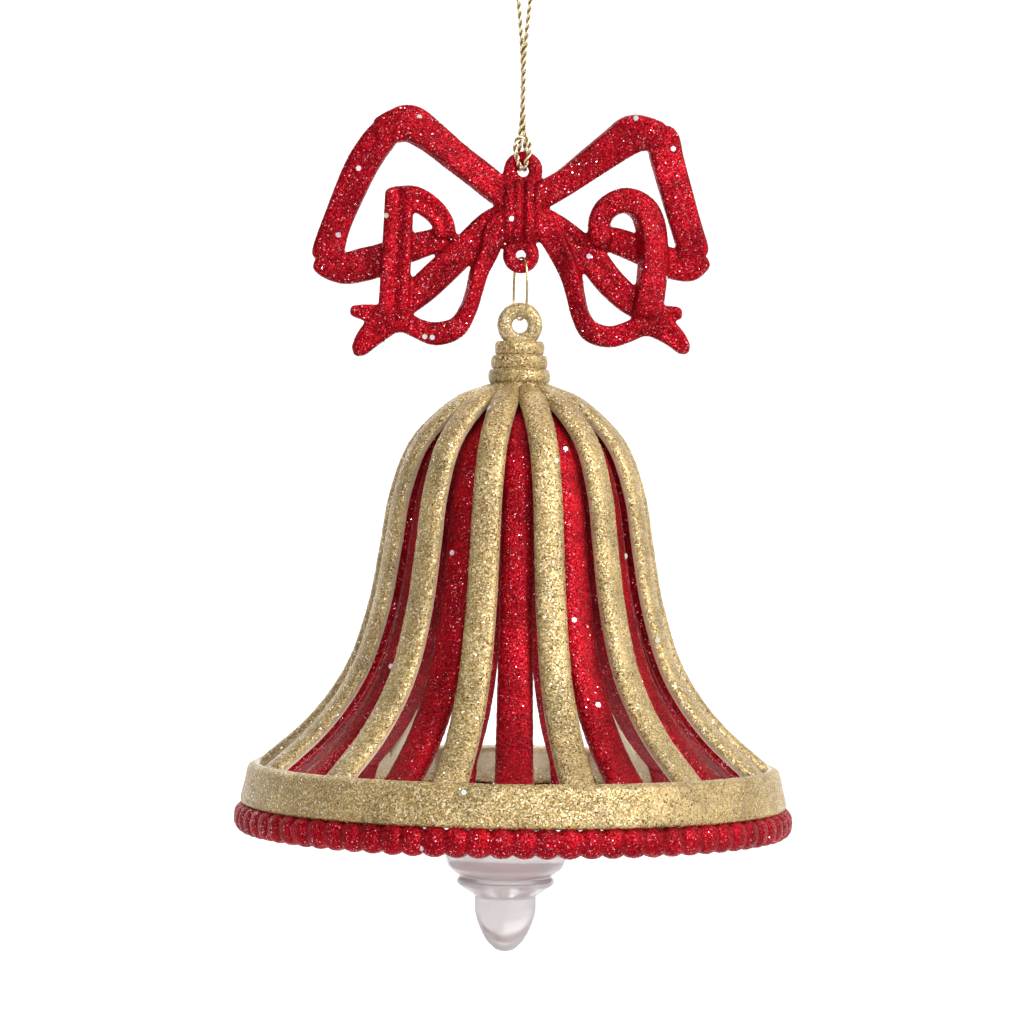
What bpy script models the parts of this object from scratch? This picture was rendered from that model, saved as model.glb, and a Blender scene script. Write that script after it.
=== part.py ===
"""Christmas bell ornament: a gold cage over a red cage, with a bow, a clapper and a hanging cord.

Frame: metres, +Z up, the front faces -Y and +X is to the right. The origin is the inside top of
the cord loop, where a twig or a hook holds the ornament, and everything hangs below it.
"""
import math

import bmesh
import bpy
import numpy as np

MM = 0.001

# Heights of the hanging chain, in millimetres below the loop's inside top.
KNOT_HEIGHT = 1.9
UPPER_EYELET_Z = -57.6
LOWER_EYELET_Z = -70.2
BELL_RING_Z = -80.7

# Cord: one length of metallic string, doubled, hitched on the upper eyelet and knotted at the top.
CORD_DIAMETER = 0.56
CORD_POINTS = 79
CURVE_STEPS = 24
WELD_DISTANCE = 0.002
# Half of the route, from the knot down the left strand to the top of the bight: x, y, z.
CORD_HALF_ROUTE = (
    (-0.42, 0.00, 0.25), (-1.60, 0.00, -2.40), (-3.00, 0.00, -7.00), (-3.35, 0.00, -13.0),
    (-2.60, 0.00, -20.5), (-1.65, 0.00, -27.0), (-0.85, 0.00, -32.5), (-0.42, 0.00, -38.5),
    (-0.36, 0.00, -44.0), (-0.36, 0.02, -49.5), (-0.37, 0.25, -52.2), (-0.40, 1.10, -54.1),
    (-0.38, 1.45, -55.9), (-0.36, 0.95, -57.15), (-0.36, 0.00, -57.35), (-0.40, -0.95, -57.1),
    (-0.66, -1.45, -56.2), (-1.05, -1.40, -54.8), (-1.00, -1.05, -53.5), (-0.45, -0.85, -52.75),
)
KNOT_RADIUS = 1.25
KNOT_FULLNESS = 1.1
KNOT_SEGMENTS = 16
# One tail from the knot's middle, the other is its mirror image: x, y, z above the knot.
TAIL_ROUTE = ((0.35, 0.0, 0.0), (0.45, 0.1, 2.5), (1.3, 0.3, 5.0))
TAIL_POINTS = 6

# Bow: flat moulded bands round a gathered centre strip with an eyelet at each end.
STRIP_HALF_WIDTH = 2.85
STRIP_THICKNESS = 1.6
EYELET_THICKNESS = 1.58
UPPER_EYELET_RADIUS = 2.95
LOWER_EYELET_RADIUS = 2.75
UPPER_HOLE_RADIUS = 1.0
LOWER_HOLE_RADIUS = 0.85
GATHER_SIZE = (3.5, 1.9, 4.6)
GATHER_RISE = 0.1
BAND_FLATNESS = 0.56
BAND_STEP = 1.75
# Each band: name, depth of its middle (front is negative), and points of x, z above the lower
# eyelet, half width.
BANDS = (
    ("left_upper", -0.1, ((-1.0, 7.8, 2.0), (-6.4, 11.9, 2.2), (-10.0, 14.6, 2.2),
                          (-13.5, 17.4, 2.4), (-16.8, 19.4, 2.8), (-19.2, 18.9, 2.4),
                          (-21.2, 18.0, 1.9))),
    ("left_strap", 0.3, ((-20.4, 18.0, 1.9), (-22.7, 15.4, 2.4), (-24.6, 12.0, 2.4),
                         (-27.5, 5.0, 2.2), (-28.8, 0.6, 2.3), (-28.9, -1.0, 2.1))),
    ("left_return", 0.7, ((-29.3, -1.2, 1.9), (-26.6, -2.2, 2.4), (-23.6, -1.7, 2.5),
                          (-20.9, -0.9, 2.4), (-18.0, 0.4, 2.2), (-16.3, 1.0, 2.1),
                          (-12.8, 2.1, 1.8), (-11.0, 3.0, 1.7))),
    ("left_post", -0.7, ((-18.3, 8.1, 2.15), (-18.5, 3.0, 2.2), (-18.7, -2.0, 2.25),
                         (-18.9, -7.6, 2.3))),
    ("left_arc", 0.2, ((-18.0, 8.2, 1.9), (-15.8, 8.1, 1.9), (-13.2, 6.5, 1.75),
                       (-11.7, 4.4, 1.65), (-11.3, 2.2, 1.6))),
    ("left_diagonal", 0.1, ((-1.0, 6.4, 2.0), (-4.6, 4.5, 2.2), (-8.4, 0.8, 2.2),
                            (-14.3, -4.9, 2.2), (-18.4, -8.2, 2.0))),
    ("left_tail", -0.3, ((-1.0, 6.0, 1.8), (-3.4, 4.2, 1.9), (-5.0, 0.2, 1.5), (-6.2, -2.5, 1.3),
                         (-6.95, -5.6, 1.15), (-7.9, -8.5, 1.3), (-9.6, -11.1, 1.6),
                         (-12.6, -12.0, 1.75), (-15.2, -11.3, 1.45), (-17.4, -10.3, 1.6),
                         (-19.8, -10.3, 2.1), (-22.0, -12.0, 1.95), (-23.6, -13.9, 1.5),
                         (-24.5, -15.3, 0.8))),
    ("left_tip", -0.3, ((-18.6, -9.8, 1.9), (-21.3, -9.3, 1.55), (-23.6, -8.9, 1.1),
                        (-25.3, -8.7, 0.7))),
    ("right_upper", -0.1, ((1.0, 7.8, 2.0), (6.7, 11.2, 2.05), (10.0, 13.7, 2.3),
                           (14.0, 16.7, 2.65), (16.4, 18.3, 2.9), (18.8, 18.3, 2.5),
                           (21.2, 17.7, 2.0))),
    ("right_strap", 0.3, ((21.1, 18.0, 2.1), (21.6, 15.4, 2.5), (22.5, 12.0, 2.45),
                          (24.6, 5.0, 2.35), (25.7, 1.6, 2.35), (26.1, -0.2, 2.2))),
    ("right_return", 0.7, ((26.9, -0.6, 1.9), (25.4, -1.3, 2.3), (23.1, -1.0, 2.3),
                           (20.4, -0.1, 2.2), (17.5, 1.2, 2.1), (14.5, 2.3, 2.0),
                           (12.0, 2.9, 1.8))),
    ("right_ring", -0.6, ((12.4, 1.6, 1.6), (11.7, 4.4, 1.7), (12.6, 7.0, 1.75),
                          (15.3, 8.35, 1.85), (17.8, 7.4, 2.0), (19.2, 5.0, 2.15),
                          (19.8, 0.7, 2.15), (19.6, -3.7, 2.15), (19.1, -7.4, 2.2))),
    ("right_diagonal", 0.1, ((1.0, 6.4, 2.0), (4.4, 4.3, 2.2), (7.6, 2.1, 2.2),
                             (10.6, -0.5, 2.2), (13.2, -3.6, 2.2), (16.1, -6.3, 2.1),
                             (19.0, -8.1, 1.9))),
    ("right_tail", -0.3, ((1.0, 6.0, 1.8), (3.6, 4.1, 1.9), (5.9, 0.6, 1.75), (7.5, -2.8, 1.6),
                          (8.2, -5.6, 1.3), (9.1, -9.0, 1.35), (10.6, -11.3, 1.6),
                          (13.4, -12.1, 1.6), (16.0, -11.4, 1.55), (18.2, -10.4, 1.6),
                          (20.4, -10.2, 2.0), (22.4, -11.4, 1.7), (23.8, -12.6, 1.4),
                          (25.0, -14.2, 0.95))),
    ("right_tip", -0.3, ((19.6, -9.3, 1.9), (22.2, -8.7, 1.3), (24.0, -8.5, 0.9))),
)

# Wire link between the bow and the bell: an oval loop, turned about the vertical.
LINK_WIRE_DIAMETER = 0.36
LINK_HALF_WIDTH = 2.35
LINK_TOP = -0.1
LINK_BOTTOM = 0.35
LINK_TURN = math.radians(25)
LINK_END_GAP = 0.12
LINK_POINTS = 44
LINK_CORNER_POWER = 2.6

# Bell ring and stepped neck, as radius and depth below the ring's centre.
RING_RADIUS = 3.4
RING_HOLE_RADIUS = 1.15
RING_THICKNESS = 2.0
NECK_STEPS = ((3.75, 2.55, 4.5), (4.25, 4.65, 6.6), (4.6, 6.75, 8.5))
NECK_GROOVE = 0.35
NECK_CORNER = 0.5

# Outline of the bell from the foot of the neck to the belt: radius and depth.
BELL_OUTLINE = ((4.3, 8.7), (10.1, 11.2), (16.2, 17.2), (19.3, 25.0), (20.7, 33.0), (22.4, 42.0),
                (25.6, 51.3), (31.1, 59.1), (39.1, 66.2))
OUTLINE_POINTS = 16
BELT_FOOT = (40.65, 71.7)
GOLD_WALL = 1.8
GOLD_CEILING = 10.6
RED_RECESS = 2.2
RED_WALL = 1.7
SKIRT_GAP = 0.45
WALL_START = 0.25
RED_CROWN = 11.0
RED_CEILING = 13.0
RIM_RADIUS = 41.7
RIM_SECTION = 1.75
RIM_DEPTH = 73.85
RIM_SWEEP = (-45, 220)
RIM_POINTS = 13
RIBS = 13
SEGMENTS = 39
GOLD_RIB_WIDTHS = (4.1, 4.9)
RED_RIB_WIDTHS = (3.8, 4.7)
SLOT_TOP = 5.0
SLOT_REACH = 66.0
RIM_OVERLAP = 0.3
HOLE_CUTTER_LENGTH = 9.0
HOLE_SEGMENTS = 20

# Clapper: a clear drop on an eye pin that hangs from a lug under the red crown.
LUG_HALF_WIDTH = 2.6
LUG_HALF_HEIGHT = 1.6
LUG_THICKNESS = 1.6
LUG_DEPTH = 15.7
LUG_SLOT_RADIUS = 0.8
LUG_END_WALL = 1.0
LUG_STEM = 2.0
PIN_X = -1.0
PIN_WIRE_DIAMETER = 0.5
PIN_EYE_RADIUS = 1.35
PIN_EYE_SWEEP = (-50, 255)
PIN_EYE_POINTS = 17
# Where the shank leaves the eye, below the eye's foot: y, depth.
PIN_SHOULDER = (-0.05, 0.5)
PIN_SHANK_START = 1.6
PIN_SET_IN = 0.3
PIN_POINTS = 6
DROP_TOP = 69.6
DROP_OUTLINE = ((0.0, 0.0), (1.3, 0.0), (1.9, 0.5), (2.2, 1.6), (3.6, 3.0), (6.4, 5.2), (8.6, 7.6),
                (9.2, 9.2), (8.9, 10.6), (8.4, 11.9), (6.9, 13.0), (7.2, 13.6), (6.9, 14.4),
                (4.7, 16.0), (4.5, 18.0), (3.9, 20.4), (2.7, 22.8), (1.4, 24.0), (0.0, 24.35))
DROP_SEGMENTS = 28

COLOURS = {
    "red_glitter": ((0.42, 0.01, 0.02), 0.35, 0.6),
    "gold_glitter": ((0.55, 0.43, 0.20), 0.35, 0.8),
    "gold_cord": ((0.45, 0.33, 0.12), 0.40, 0.7),
    "gold_wire": ((0.60, 0.48, 0.25), 0.25, 1.0),
    "clear_acrylic": ((0.90, 0.88, 0.89), 0.05, 0.0),
}


def collection(name):
    """A new collection linked to the scene."""
    made = bpy.data.collections.new(name)
    bpy.context.scene.collection.children.link(made)
    return made


def material(name):
    """The named finish as a Principled material."""
    known = bpy.data.materials.get(name)
    if known:
        return known
    colour, roughness, metallic = COLOURS[name]
    made = bpy.data.materials.new(name)
    made.use_nodes = True
    shader = made.node_tree.nodes["Principled BSDF"]
    shader.inputs["Base Color"].default_value = (*colour, 1.0)
    shader.inputs["Roughness"].default_value = roughness
    shader.inputs["Metallic"].default_value = metallic
    return made


def add_object(name, mesh, group, finish=None):
    """An object for a mesh, in a collection, with its finish."""
    thing = bpy.data.objects.new(name, mesh)
    group.objects.link(thing)
    if finish:
        mesh.materials.append(material(finish))
    return thing


def as_tool(thing):
    """Mark an object as a cutter or a joined shape that is not a part itself."""
    thing.hide_render = True
    thing.display_type = "WIRE"
    return thing


def boolean(target, tool, operation):
    """Cut or join a tool with the EXACT solver."""
    modifier = target.modifiers.new(tool.name, "BOOLEAN")
    modifier.operation = operation
    modifier.solver = "EXACT"
    modifier.object = as_tool(tool)


def smooth_curve(points, count):
    """Points evenly spaced along a Catmull-Rom curve through the given points."""
    given = np.array(points, dtype=float)
    knots = np.vstack([2 * given[0] - given[1], given, 2 * given[-1] - given[-2]])
    t = np.linspace(0, 1, CURVE_STEPS, endpoint=False)[:, None]
    pieces = []
    for a, b, c, d in zip(knots[:-3], knots[1:-2], knots[2:-1], knots[3:]):
        pieces.append(b + (c - a) * t / 2 + (a - 2.5 * b + 2 * c - d / 2) * t ** 2
                      + (1.5 * b - a / 2 - 1.5 * c + d / 2) * t ** 3)
    dense = np.vstack(pieces + [given[-1:]])
    run = np.concatenate([[0.0], np.cumsum(np.linalg.norm(np.diff(dense, axis=0), axis=1))])
    marks = np.linspace(0.0, run[-1], count)
    return np.column_stack([np.interp(marks, run, dense[:, k]) for k in range(given.shape[1])])


def tube_curve(name, points, diameter, group, radii=None):
    """A round tube along points in millimetres, as a curve object with filled caps."""
    data = bpy.data.curves.new(name, "CURVE")
    data.dimensions = "3D"
    data.bevel_depth = diameter / 2 * MM
    data.bevel_resolution = 2
    data.use_fill_caps = True
    spline = data.splines.new("POLY")
    spline.points.add(len(points) - 1)
    for index, (point, place) in enumerate(zip(spline.points, points)):
        point.co = (place[0] * MM, place[1] * MM, place[2] * MM, 1.0)
        point.radius = 1.0 if radii is None else radii[index]
    thing = bpy.data.objects.new(name, data)
    group.objects.link(thing)
    return thing


def curve_to_mesh(thing, group):
    """The curve's evaluated tube as a welded mesh object in the same place."""
    graph = bpy.context.evaluated_depsgraph_get()
    mesh = bpy.data.meshes.new_from_object(thing.evaluated_get(graph))
    edit = bmesh.new()
    edit.from_mesh(mesh)
    bmesh.ops.remove_doubles(edit, verts=edit.verts, dist=WELD_DISTANCE * MM)
    edit.to_mesh(mesh)
    edit.free()
    made = bpy.data.objects.new(thing.name, mesh)
    made.matrix_world = thing.matrix_world
    group.objects.link(made)
    bpy.data.objects.remove(thing)
    return made


def cylinder(name, centre, radius, length, group, segments=32):
    """A cylinder along Y, centred on a point in millimetres."""
    mesh = bpy.data.meshes.new(name)
    edit = bmesh.new()
    bmesh.ops.create_cone(edit, cap_ends=True, segments=segments, radius1=radius * MM,
                          radius2=radius * MM, depth=length * MM)
    edit.to_mesh(mesh)
    edit.free()
    made = add_object(name, mesh, group)
    made.rotation_euler = (math.pi / 2, 0.0, 0.0)
    made.location = [value * MM for value in centre]
    return made


def block(name, centre, size, group):
    """A box centred on a point in millimetres."""
    mesh = bpy.data.meshes.new(name)
    edit = bmesh.new()
    bmesh.ops.create_cube(edit, size=1.0)
    bmesh.ops.scale(edit, vec=[value * MM for value in size], verts=edit.verts)
    edit.to_mesh(mesh)
    edit.free()
    made = add_object(name, mesh, group)
    made.location = [value * MM for value in centre]
    return made


def ellipsoid(name, centre, radii, group, segments=20):
    """A stretched sphere centred on a point in millimetres."""
    mesh = bpy.data.meshes.new(name)
    edit = bmesh.new()
    bmesh.ops.create_uvsphere(edit, u_segments=segments, v_segments=segments // 2, radius=1.0)
    bmesh.ops.scale(edit, vec=[value * MM for value in radii], verts=edit.verts)
    edit.to_mesh(mesh)
    edit.free()
    made = add_object(name, mesh, group)
    made.location = [value * MM for value in centre]
    return made


def turned(name, profile, centre, segments, group, finish):
    """A solid turned about a vertical axis from radius and depth pairs, outer side first."""
    mesh = bpy.data.meshes.new(name)
    edit = bmesh.new()
    verts = [edit.verts.new((radius * MM, 0.0, -depth * MM)) for radius, depth in profile]
    for above, below in zip(verts, verts[1:]):
        edit.edges.new((above, below))
    edit.to_mesh(mesh)
    edit.free()
    made = add_object(name, mesh, group, finish)
    made.location = [value * MM for value in centre]
    screw = made.modifiers.new("turn", "SCREW")
    screw.steps = segments
    screw.render_steps = segments
    screw.use_merge_vertices = True
    screw.merge_threshold = 0.01 * MM
    screw.use_smooth_shade = True
    return made


def offset_outline(outline, distance):
    """The outline moved inwards along its normals."""
    tangent = np.gradient(outline, axis=0)
    tangent /= np.linalg.norm(tangent, axis=1)[:, None]
    inward = np.column_stack([-tangent[:, 1], tangent[:, 0]])
    return outline + inward * distance


def cage_wall(outline, distance, crown_depth):
    """A wall curve inside the outline, from the crown's flat downwards."""
    wall = offset_outline(outline, distance)
    return [tuple(point) for point in wall if point[1] > crown_depth + WALL_START]


def slot_tool(name, angle, widths, depths, group):
    """A wedge between two ribs: its sides are parallel to the ribs' middle planes."""
    half_pitch = math.pi / RIBS
    mesh = bpy.data.meshes.new(name)
    edit = bmesh.new()
    for width, depth in zip(widths, depths):
        apex = width / 2 / math.sin(half_pitch)
        for distance, turn in ((0.0, 0.0), (SLOT_REACH, half_pitch), (SLOT_REACH, -half_pitch)):
            x = apex * math.cos(angle) + distance * math.cos(angle + turn)
            y = apex * math.sin(angle) + distance * math.sin(angle + turn)
            edit.verts.new((x * MM, y * MM, (BELL_RING_Z - depth) * MM))
    bmesh.ops.convex_hull(edit, input=edit.verts)
    bmesh.ops.recalc_face_normals(edit, faces=edit.faces)
    edit.to_mesh(mesh)
    edit.free()
    return add_object(name, mesh, group)


def cut_slots(cage, first_angle, widths, depths, tools):
    """Cut the openings between a cage's ribs."""
    for index in range(RIBS):
        angle = first_angle + index * 2 * math.pi / RIBS
        tool = slot_tool(f"{cage.name}_slot_{index}", angle, widths, depths, tools)
        boolean(cage, tool, "DIFFERENCE")


def make_cord(parts):
    """The doubled cord, as one tube from the knot round the hitch and back to the knot."""
    half = list(CORD_HALF_ROUTE)
    other = [(-x, y, z) for x, y, z in reversed(half)]
    points = smooth_curve(half + other, CORD_POINTS)
    cord = tube_curve("hanging_cord", points, CORD_DIAMETER, parts)
    cord.data.materials.append(material("gold_cord"))


def make_knot(parts, tools):
    """The knot that joins the cord's ends, with two short tails."""
    size = (KNOT_RADIUS * KNOT_FULLNESS, KNOT_RADIUS, KNOT_RADIUS)
    knot = ellipsoid("cord_knot", (0.0, 0.0, KNOT_HEIGHT), size, parts, KNOT_SEGMENTS)
    knot.data.materials.append(material("gold_cord"))
    for side, label in ((-1, "left"), (1, "right")):
        points = smooth_curve([(side * x, side * y, KNOT_HEIGHT + z) for x, y, z in TAIL_ROUTE],
                              TAIL_POINTS)
        tail = curve_to_mesh(tube_curve(f"{label}_tail", points, CORD_DIAMETER, tools), tools)
        boolean(knot, tail, "UNION")


def band(name, depth, route, tools):
    """One flat moulded band of the bow: a tube along its middle line, flattened front to back."""
    xz = np.array(route)
    length = np.linalg.norm(np.diff(xz[:, :2], axis=0), axis=1).sum()
    line = smooth_curve(xz, max(4, round(length / BAND_STEP)))
    points = [(x, 0.0, z + LOWER_EYELET_Z) for x, z, _ in line]
    tube = curve_to_mesh(tube_curve(name, points, 2.0, tools, radii=line[:, 2]), tools)
    for vert in tube.data.vertices:
        vert.co.y = vert.co.y * BAND_FLATNESS + depth * MM
    return tube


def make_bow(parts, tools):
    """The bow: centre strip, two eyelets, the gathered middle and every band, as one moulding."""
    height = UPPER_EYELET_Z - LOWER_EYELET_Z
    middle = (UPPER_EYELET_Z + LOWER_EYELET_Z) / 2
    bow = block("bow", (0.0, 0.0, middle), (STRIP_HALF_WIDTH * 2, STRIP_THICKNESS, height), parts)
    bow.data.materials.append(material("red_glitter"))
    for label, z, radius in (("upper_eyelet", UPPER_EYELET_Z, UPPER_EYELET_RADIUS),
                             ("lower_eyelet", LOWER_EYELET_Z, LOWER_EYELET_RADIUS)):
        boolean(bow, cylinder(label, (0.0, 0.0, z), radius, EYELET_THICKNESS, tools), "UNION")
    boolean(bow, ellipsoid("gather", (0.0, 0.0, middle + GATHER_RISE), GATHER_SIZE, tools), "UNION")
    for name, depth, route in BANDS:
        boolean(bow, band(name, depth, route, tools), "UNION")
    for label, z, radius in (("upper_hole", UPPER_EYELET_Z, UPPER_HOLE_RADIUS),
                             ("lower_hole", LOWER_EYELET_Z, LOWER_HOLE_RADIUS)):
        boolean(bow, cylinder(label, (0.0, 0.0, z), radius, HOLE_CUTTER_LENGTH, tools,
                              HOLE_SEGMENTS), "DIFFERENCE")


def squared_off(value):
    """A sine or cosine bent so that an ellipse becomes a rounder oval."""
    return math.copysign(abs(value) ** (2 / LINK_CORNER_POWER), value)


def make_link(parts):
    """The wire link: a rounded oval whose two ends nearly meet on its back arm."""
    top = LOWER_EYELET_Z + LINK_TOP
    bottom = BELL_RING_Z + LINK_BOTTOM
    half_height = (top - bottom) / 2
    gap_angle = LINK_END_GAP / half_height
    points = []
    for angle in np.linspace(math.pi + gap_angle, 3 * math.pi - gap_angle, LINK_POINTS):
        across = LINK_HALF_WIDTH * squared_off(math.cos(angle))
        up = half_height * squared_off(math.sin(angle))
        points.append((across * math.sin(LINK_TURN), -across * math.cos(LINK_TURN),
                       (top + bottom) / 2 + up))
    link = tube_curve("wire_link", points, LINK_WIRE_DIAMETER, parts)
    link.data.materials.append(material("gold_wire"))


def make_outer_bell(parts, tools):
    """The gold cage: ring, stepped neck, dome of ribs and the belt round their feet."""
    outline = smooth_curve(BELL_OUTLINE, OUTLINE_POINTS)
    profile = [(0.0, NECK_STEPS[0][1])]
    for radius, top, foot in NECK_STEPS:
        profile += [(radius - NECK_GROOVE, top), (radius, top + NECK_CORNER),
                    (radius, foot - NECK_CORNER), (radius - NECK_GROOVE, foot)]
    profile += [tuple(point) for point in outline]
    profile.append(BELT_FOOT)
    profile.append((BELT_FOOT[0] - GOLD_WALL, BELT_FOOT[1]))
    profile += reversed(cage_wall(outline, GOLD_WALL, GOLD_CEILING))
    profile.append((0.0, GOLD_CEILING))
    bell = turned("outer_bell", profile, (0.0, 0.0, BELL_RING_Z), SEGMENTS, parts, "gold_glitter")
    cut_slots(bell, -math.pi / 2, GOLD_RIB_WIDTHS, (SLOT_TOP, BELL_OUTLINE[-1][1]), tools)
    ring = cylinder("bell_ring", (0.0, 0.0, BELL_RING_Z), RING_RADIUS, RING_THICKNESS, tools)
    boolean(bell, ring, "UNION")
    hole = cylinder("bell_ring_hole", (0.0, 0.0, BELL_RING_Z), RING_HOLE_RADIUS,
                    HOLE_CUTTER_LENGTH, tools, HOLE_SEGMENTS)
    boolean(bell, hole, "DIFFERENCE")


def make_inner_bell(parts, tools):
    """The red cage: crown, ribs between the gold ones, the rim below the belt and the lug."""
    outline = smooth_curve(BELL_OUTLINE, OUTLINE_POINTS)
    outer = cage_wall(outline, RED_RECESS, RED_CROWN)
    inner = cage_wall(outline, RED_RECESS + RED_WALL, RED_CEILING)
    rim_centre = RIM_RADIUS - RIM_SECTION
    rim = [(rim_centre + RIM_SECTION * math.sin(angle), RIM_DEPTH - RIM_SECTION * math.cos(angle))
           for angle in np.radians(np.linspace(*RIM_SWEEP, RIM_POINTS))]
    skirt = [(BELT_FOOT[0] - GOLD_WALL - SKIRT_GAP, BELT_FOOT[1])]
    profile = [(0.0, RED_CROWN)] + outer + skirt + rim + list(reversed(inner)) + [(0.0, RED_CEILING)]
    bell = turned("inner_bell", profile, (0.0, 0.0, BELL_RING_Z), SEGMENTS, parts, "red_glitter")
    cut_slots(bell, -math.pi / 2 + math.pi / RIBS, RED_RIB_WIDTHS,
              (SLOT_TOP, RIM_DEPTH - RIM_SECTION + RIM_OVERLAP), tools)
    lug_z = BELL_RING_Z - LUG_DEPTH
    body = block("lug", (0.0, 0.0, lug_z + LUG_STEM / 2),
                 (LUG_HALF_WIDTH * 2, LUG_THICKNESS, LUG_HALF_HEIGHT * 2 + LUG_STEM), tools)
    boolean(bell, body, "UNION")
    half_slot = LUG_HALF_WIDTH - LUG_END_WALL - LUG_SLOT_RADIUS
    slot = block("lug_slot", (0.0, 0.0, lug_z),
                 (half_slot * 2, HOLE_CUTTER_LENGTH, LUG_SLOT_RADIUS * 2), tools)
    for side, label in ((-1, "left"), (1, "right")):
        end = cylinder(f"lug_slot_{label}", (side * half_slot, 0.0, lug_z), LUG_SLOT_RADIUS,
                       HOLE_CUTTER_LENGTH, tools, HOLE_SEGMENTS)
        boolean(bell, end, "DIFFERENCE")
    boolean(bell, slot, "DIFFERENCE")


def make_pin(parts):
    """The clapper's eye pin: a long straight shank below a small eye round the lug."""
    eye_z = BELL_RING_Z - LUG_DEPTH - PIN_EYE_RADIUS
    points = []
    for angle in np.radians(np.linspace(*PIN_EYE_SWEEP, PIN_EYE_POINTS)):
        points.append((PIN_X, PIN_EYE_RADIUS * math.cos(angle),
                       eye_z + PIN_EYE_RADIUS * math.sin(angle)))
    points.append((PIN_X, PIN_SHOULDER[0], eye_z - PIN_EYE_RADIUS - PIN_SHOULDER[1]))
    shank_top = LUG_DEPTH + 2 * PIN_EYE_RADIUS + PIN_SHANK_START
    for depth in np.linspace(shank_top, DROP_TOP - PIN_SET_IN, PIN_POINTS):
        points.append((PIN_X, 0.0, BELL_RING_Z - depth))
    pin = tube_curve("clapper_pin", points, PIN_WIRE_DIAMETER, parts)
    pin.data.materials.append(material("gold_wire"))


def make_drop(parts):
    """The clear clapper drop: a shoulder, a stepped waist and a pointed tip."""
    turned("clapper_drop", DROP_OUTLINE, (PIN_X, 0.0, BELL_RING_Z - DROP_TOP), DROP_SEGMENTS,
           parts, "clear_acrylic")


def main():
    """Build the whole ornament."""
    for thing in list(bpy.data.objects):
        bpy.data.objects.remove(thing)
    parts = collection("christmas_bell_ornament")
    tools = collection("cutters_and_joined_shapes")
    make_cord(parts)
    make_knot(parts, tools)
    make_bow(parts, tools)
    make_link(parts)
    make_outer_bell(parts, tools)
    make_inner_bell(parts, tools)
    make_pin(parts)
    make_drop(parts)


main()
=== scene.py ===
"""Looks of a christmas bell ornament: glitter cages, moulded bow, metallic cord and clear clapper.

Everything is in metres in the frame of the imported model. Lengths in the classes are millimetres,
as on a maker's drawing, and MM turns them into metres where a mesh is made.
"""
import logging
import math
from dataclasses import dataclass, field
from enum import Enum

import bpy
import numpy as np
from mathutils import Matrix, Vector


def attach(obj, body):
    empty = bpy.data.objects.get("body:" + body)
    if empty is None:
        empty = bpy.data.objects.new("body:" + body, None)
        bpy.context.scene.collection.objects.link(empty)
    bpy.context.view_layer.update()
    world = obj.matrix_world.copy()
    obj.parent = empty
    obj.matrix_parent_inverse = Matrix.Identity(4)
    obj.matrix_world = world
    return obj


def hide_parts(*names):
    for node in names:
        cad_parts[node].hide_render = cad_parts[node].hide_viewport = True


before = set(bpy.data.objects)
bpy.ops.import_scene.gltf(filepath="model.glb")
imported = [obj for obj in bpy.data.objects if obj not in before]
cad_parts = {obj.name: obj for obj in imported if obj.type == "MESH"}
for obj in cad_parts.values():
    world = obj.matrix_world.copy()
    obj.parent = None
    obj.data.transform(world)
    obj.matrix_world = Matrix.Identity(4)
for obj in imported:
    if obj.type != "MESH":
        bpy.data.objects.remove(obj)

MM = 0.001
LOG = logging.getLogger("ornament")
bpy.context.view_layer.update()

UPPER_EYELET_Z = -57.6
LOWER_EYELET_Z = -70.2
BELL_RING_Z = -80.7
RIBS = 13
PITCH = 2 * math.pi / RIBS
FRONT = -math.pi / 2


class Body(Enum):
    """The moving groups of the frame that pieces ride on."""

    CORD = "cord"
    BOW = "bow"
    LINK = "link"
    BELL = "bell"
    CLAPPER = "clapper"


class Slot(Enum):
    """The record's material slots."""

    RED = "red_glitter"
    GOLD = "gold_glitter"
    YARN = "gold_cord"
    WIRE = "gold_wire"
    CLEAR = "clear_acrylic"


# ---------------------------------------------------------------- curves and surfaces


def smooth_curve(points: np.ndarray, count: int) -> np.ndarray:
    """Points evenly spaced along a Catmull-Rom curve through the given points.

    Args:
        points: Route points, one row each. Distance is measured over all the columns.
        count: How many points to return.

    Returns:
        An array of count rows with the same columns.
    """
    given = np.array(points, dtype=float)
    knots = np.vstack([2 * given[0] - given[1], given, 2 * given[-1] - given[-2]])
    points_per_span = 48
    t = np.linspace(0, 1, points_per_span, endpoint=False)[:, None, None]
    a, b, c, d = knots[:-3], knots[1:-2], knots[2:-1], knots[3:]
    cubic = (b + (c - a) * t / 2 + (a - 2.5 * b + 2 * c - d / 2) * t ** 2
             + (1.5 * b - a / 2 - 1.5 * c + d / 2) * t ** 3)
    dense = np.vstack([cubic.transpose(1, 0, 2).reshape(-1, given.shape[1]), given[-1:]])
    run = run_length(dense)
    marks = np.linspace(0.0, run[-1], count)
    return np.column_stack([np.interp(marks, run, column) for column in dense.T])


def run_length(points: np.ndarray) -> np.ndarray:
    """The distance along a row of points, from 0 at the first."""
    return np.concatenate([[0.0], np.cumsum(np.linalg.norm(np.diff(points, axis=0), axis=1))])


def squared(value: np.ndarray, power: float) -> np.ndarray:
    """A sine or cosine bent so that a circle becomes a superellipse of that power."""
    return np.sign(value) * np.abs(value) ** (2.0 / power)


def unit(vectors: np.ndarray) -> np.ndarray:
    """The vectors at length 1."""
    return vectors / np.linalg.norm(vectors, axis=-1, keepdims=True)


def full_turn(count: int) -> np.ndarray:
    """So many angles evenly spaced round one turn, from 0."""
    return np.linspace(0, 2 * math.pi, count, endpoint=False)


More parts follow.
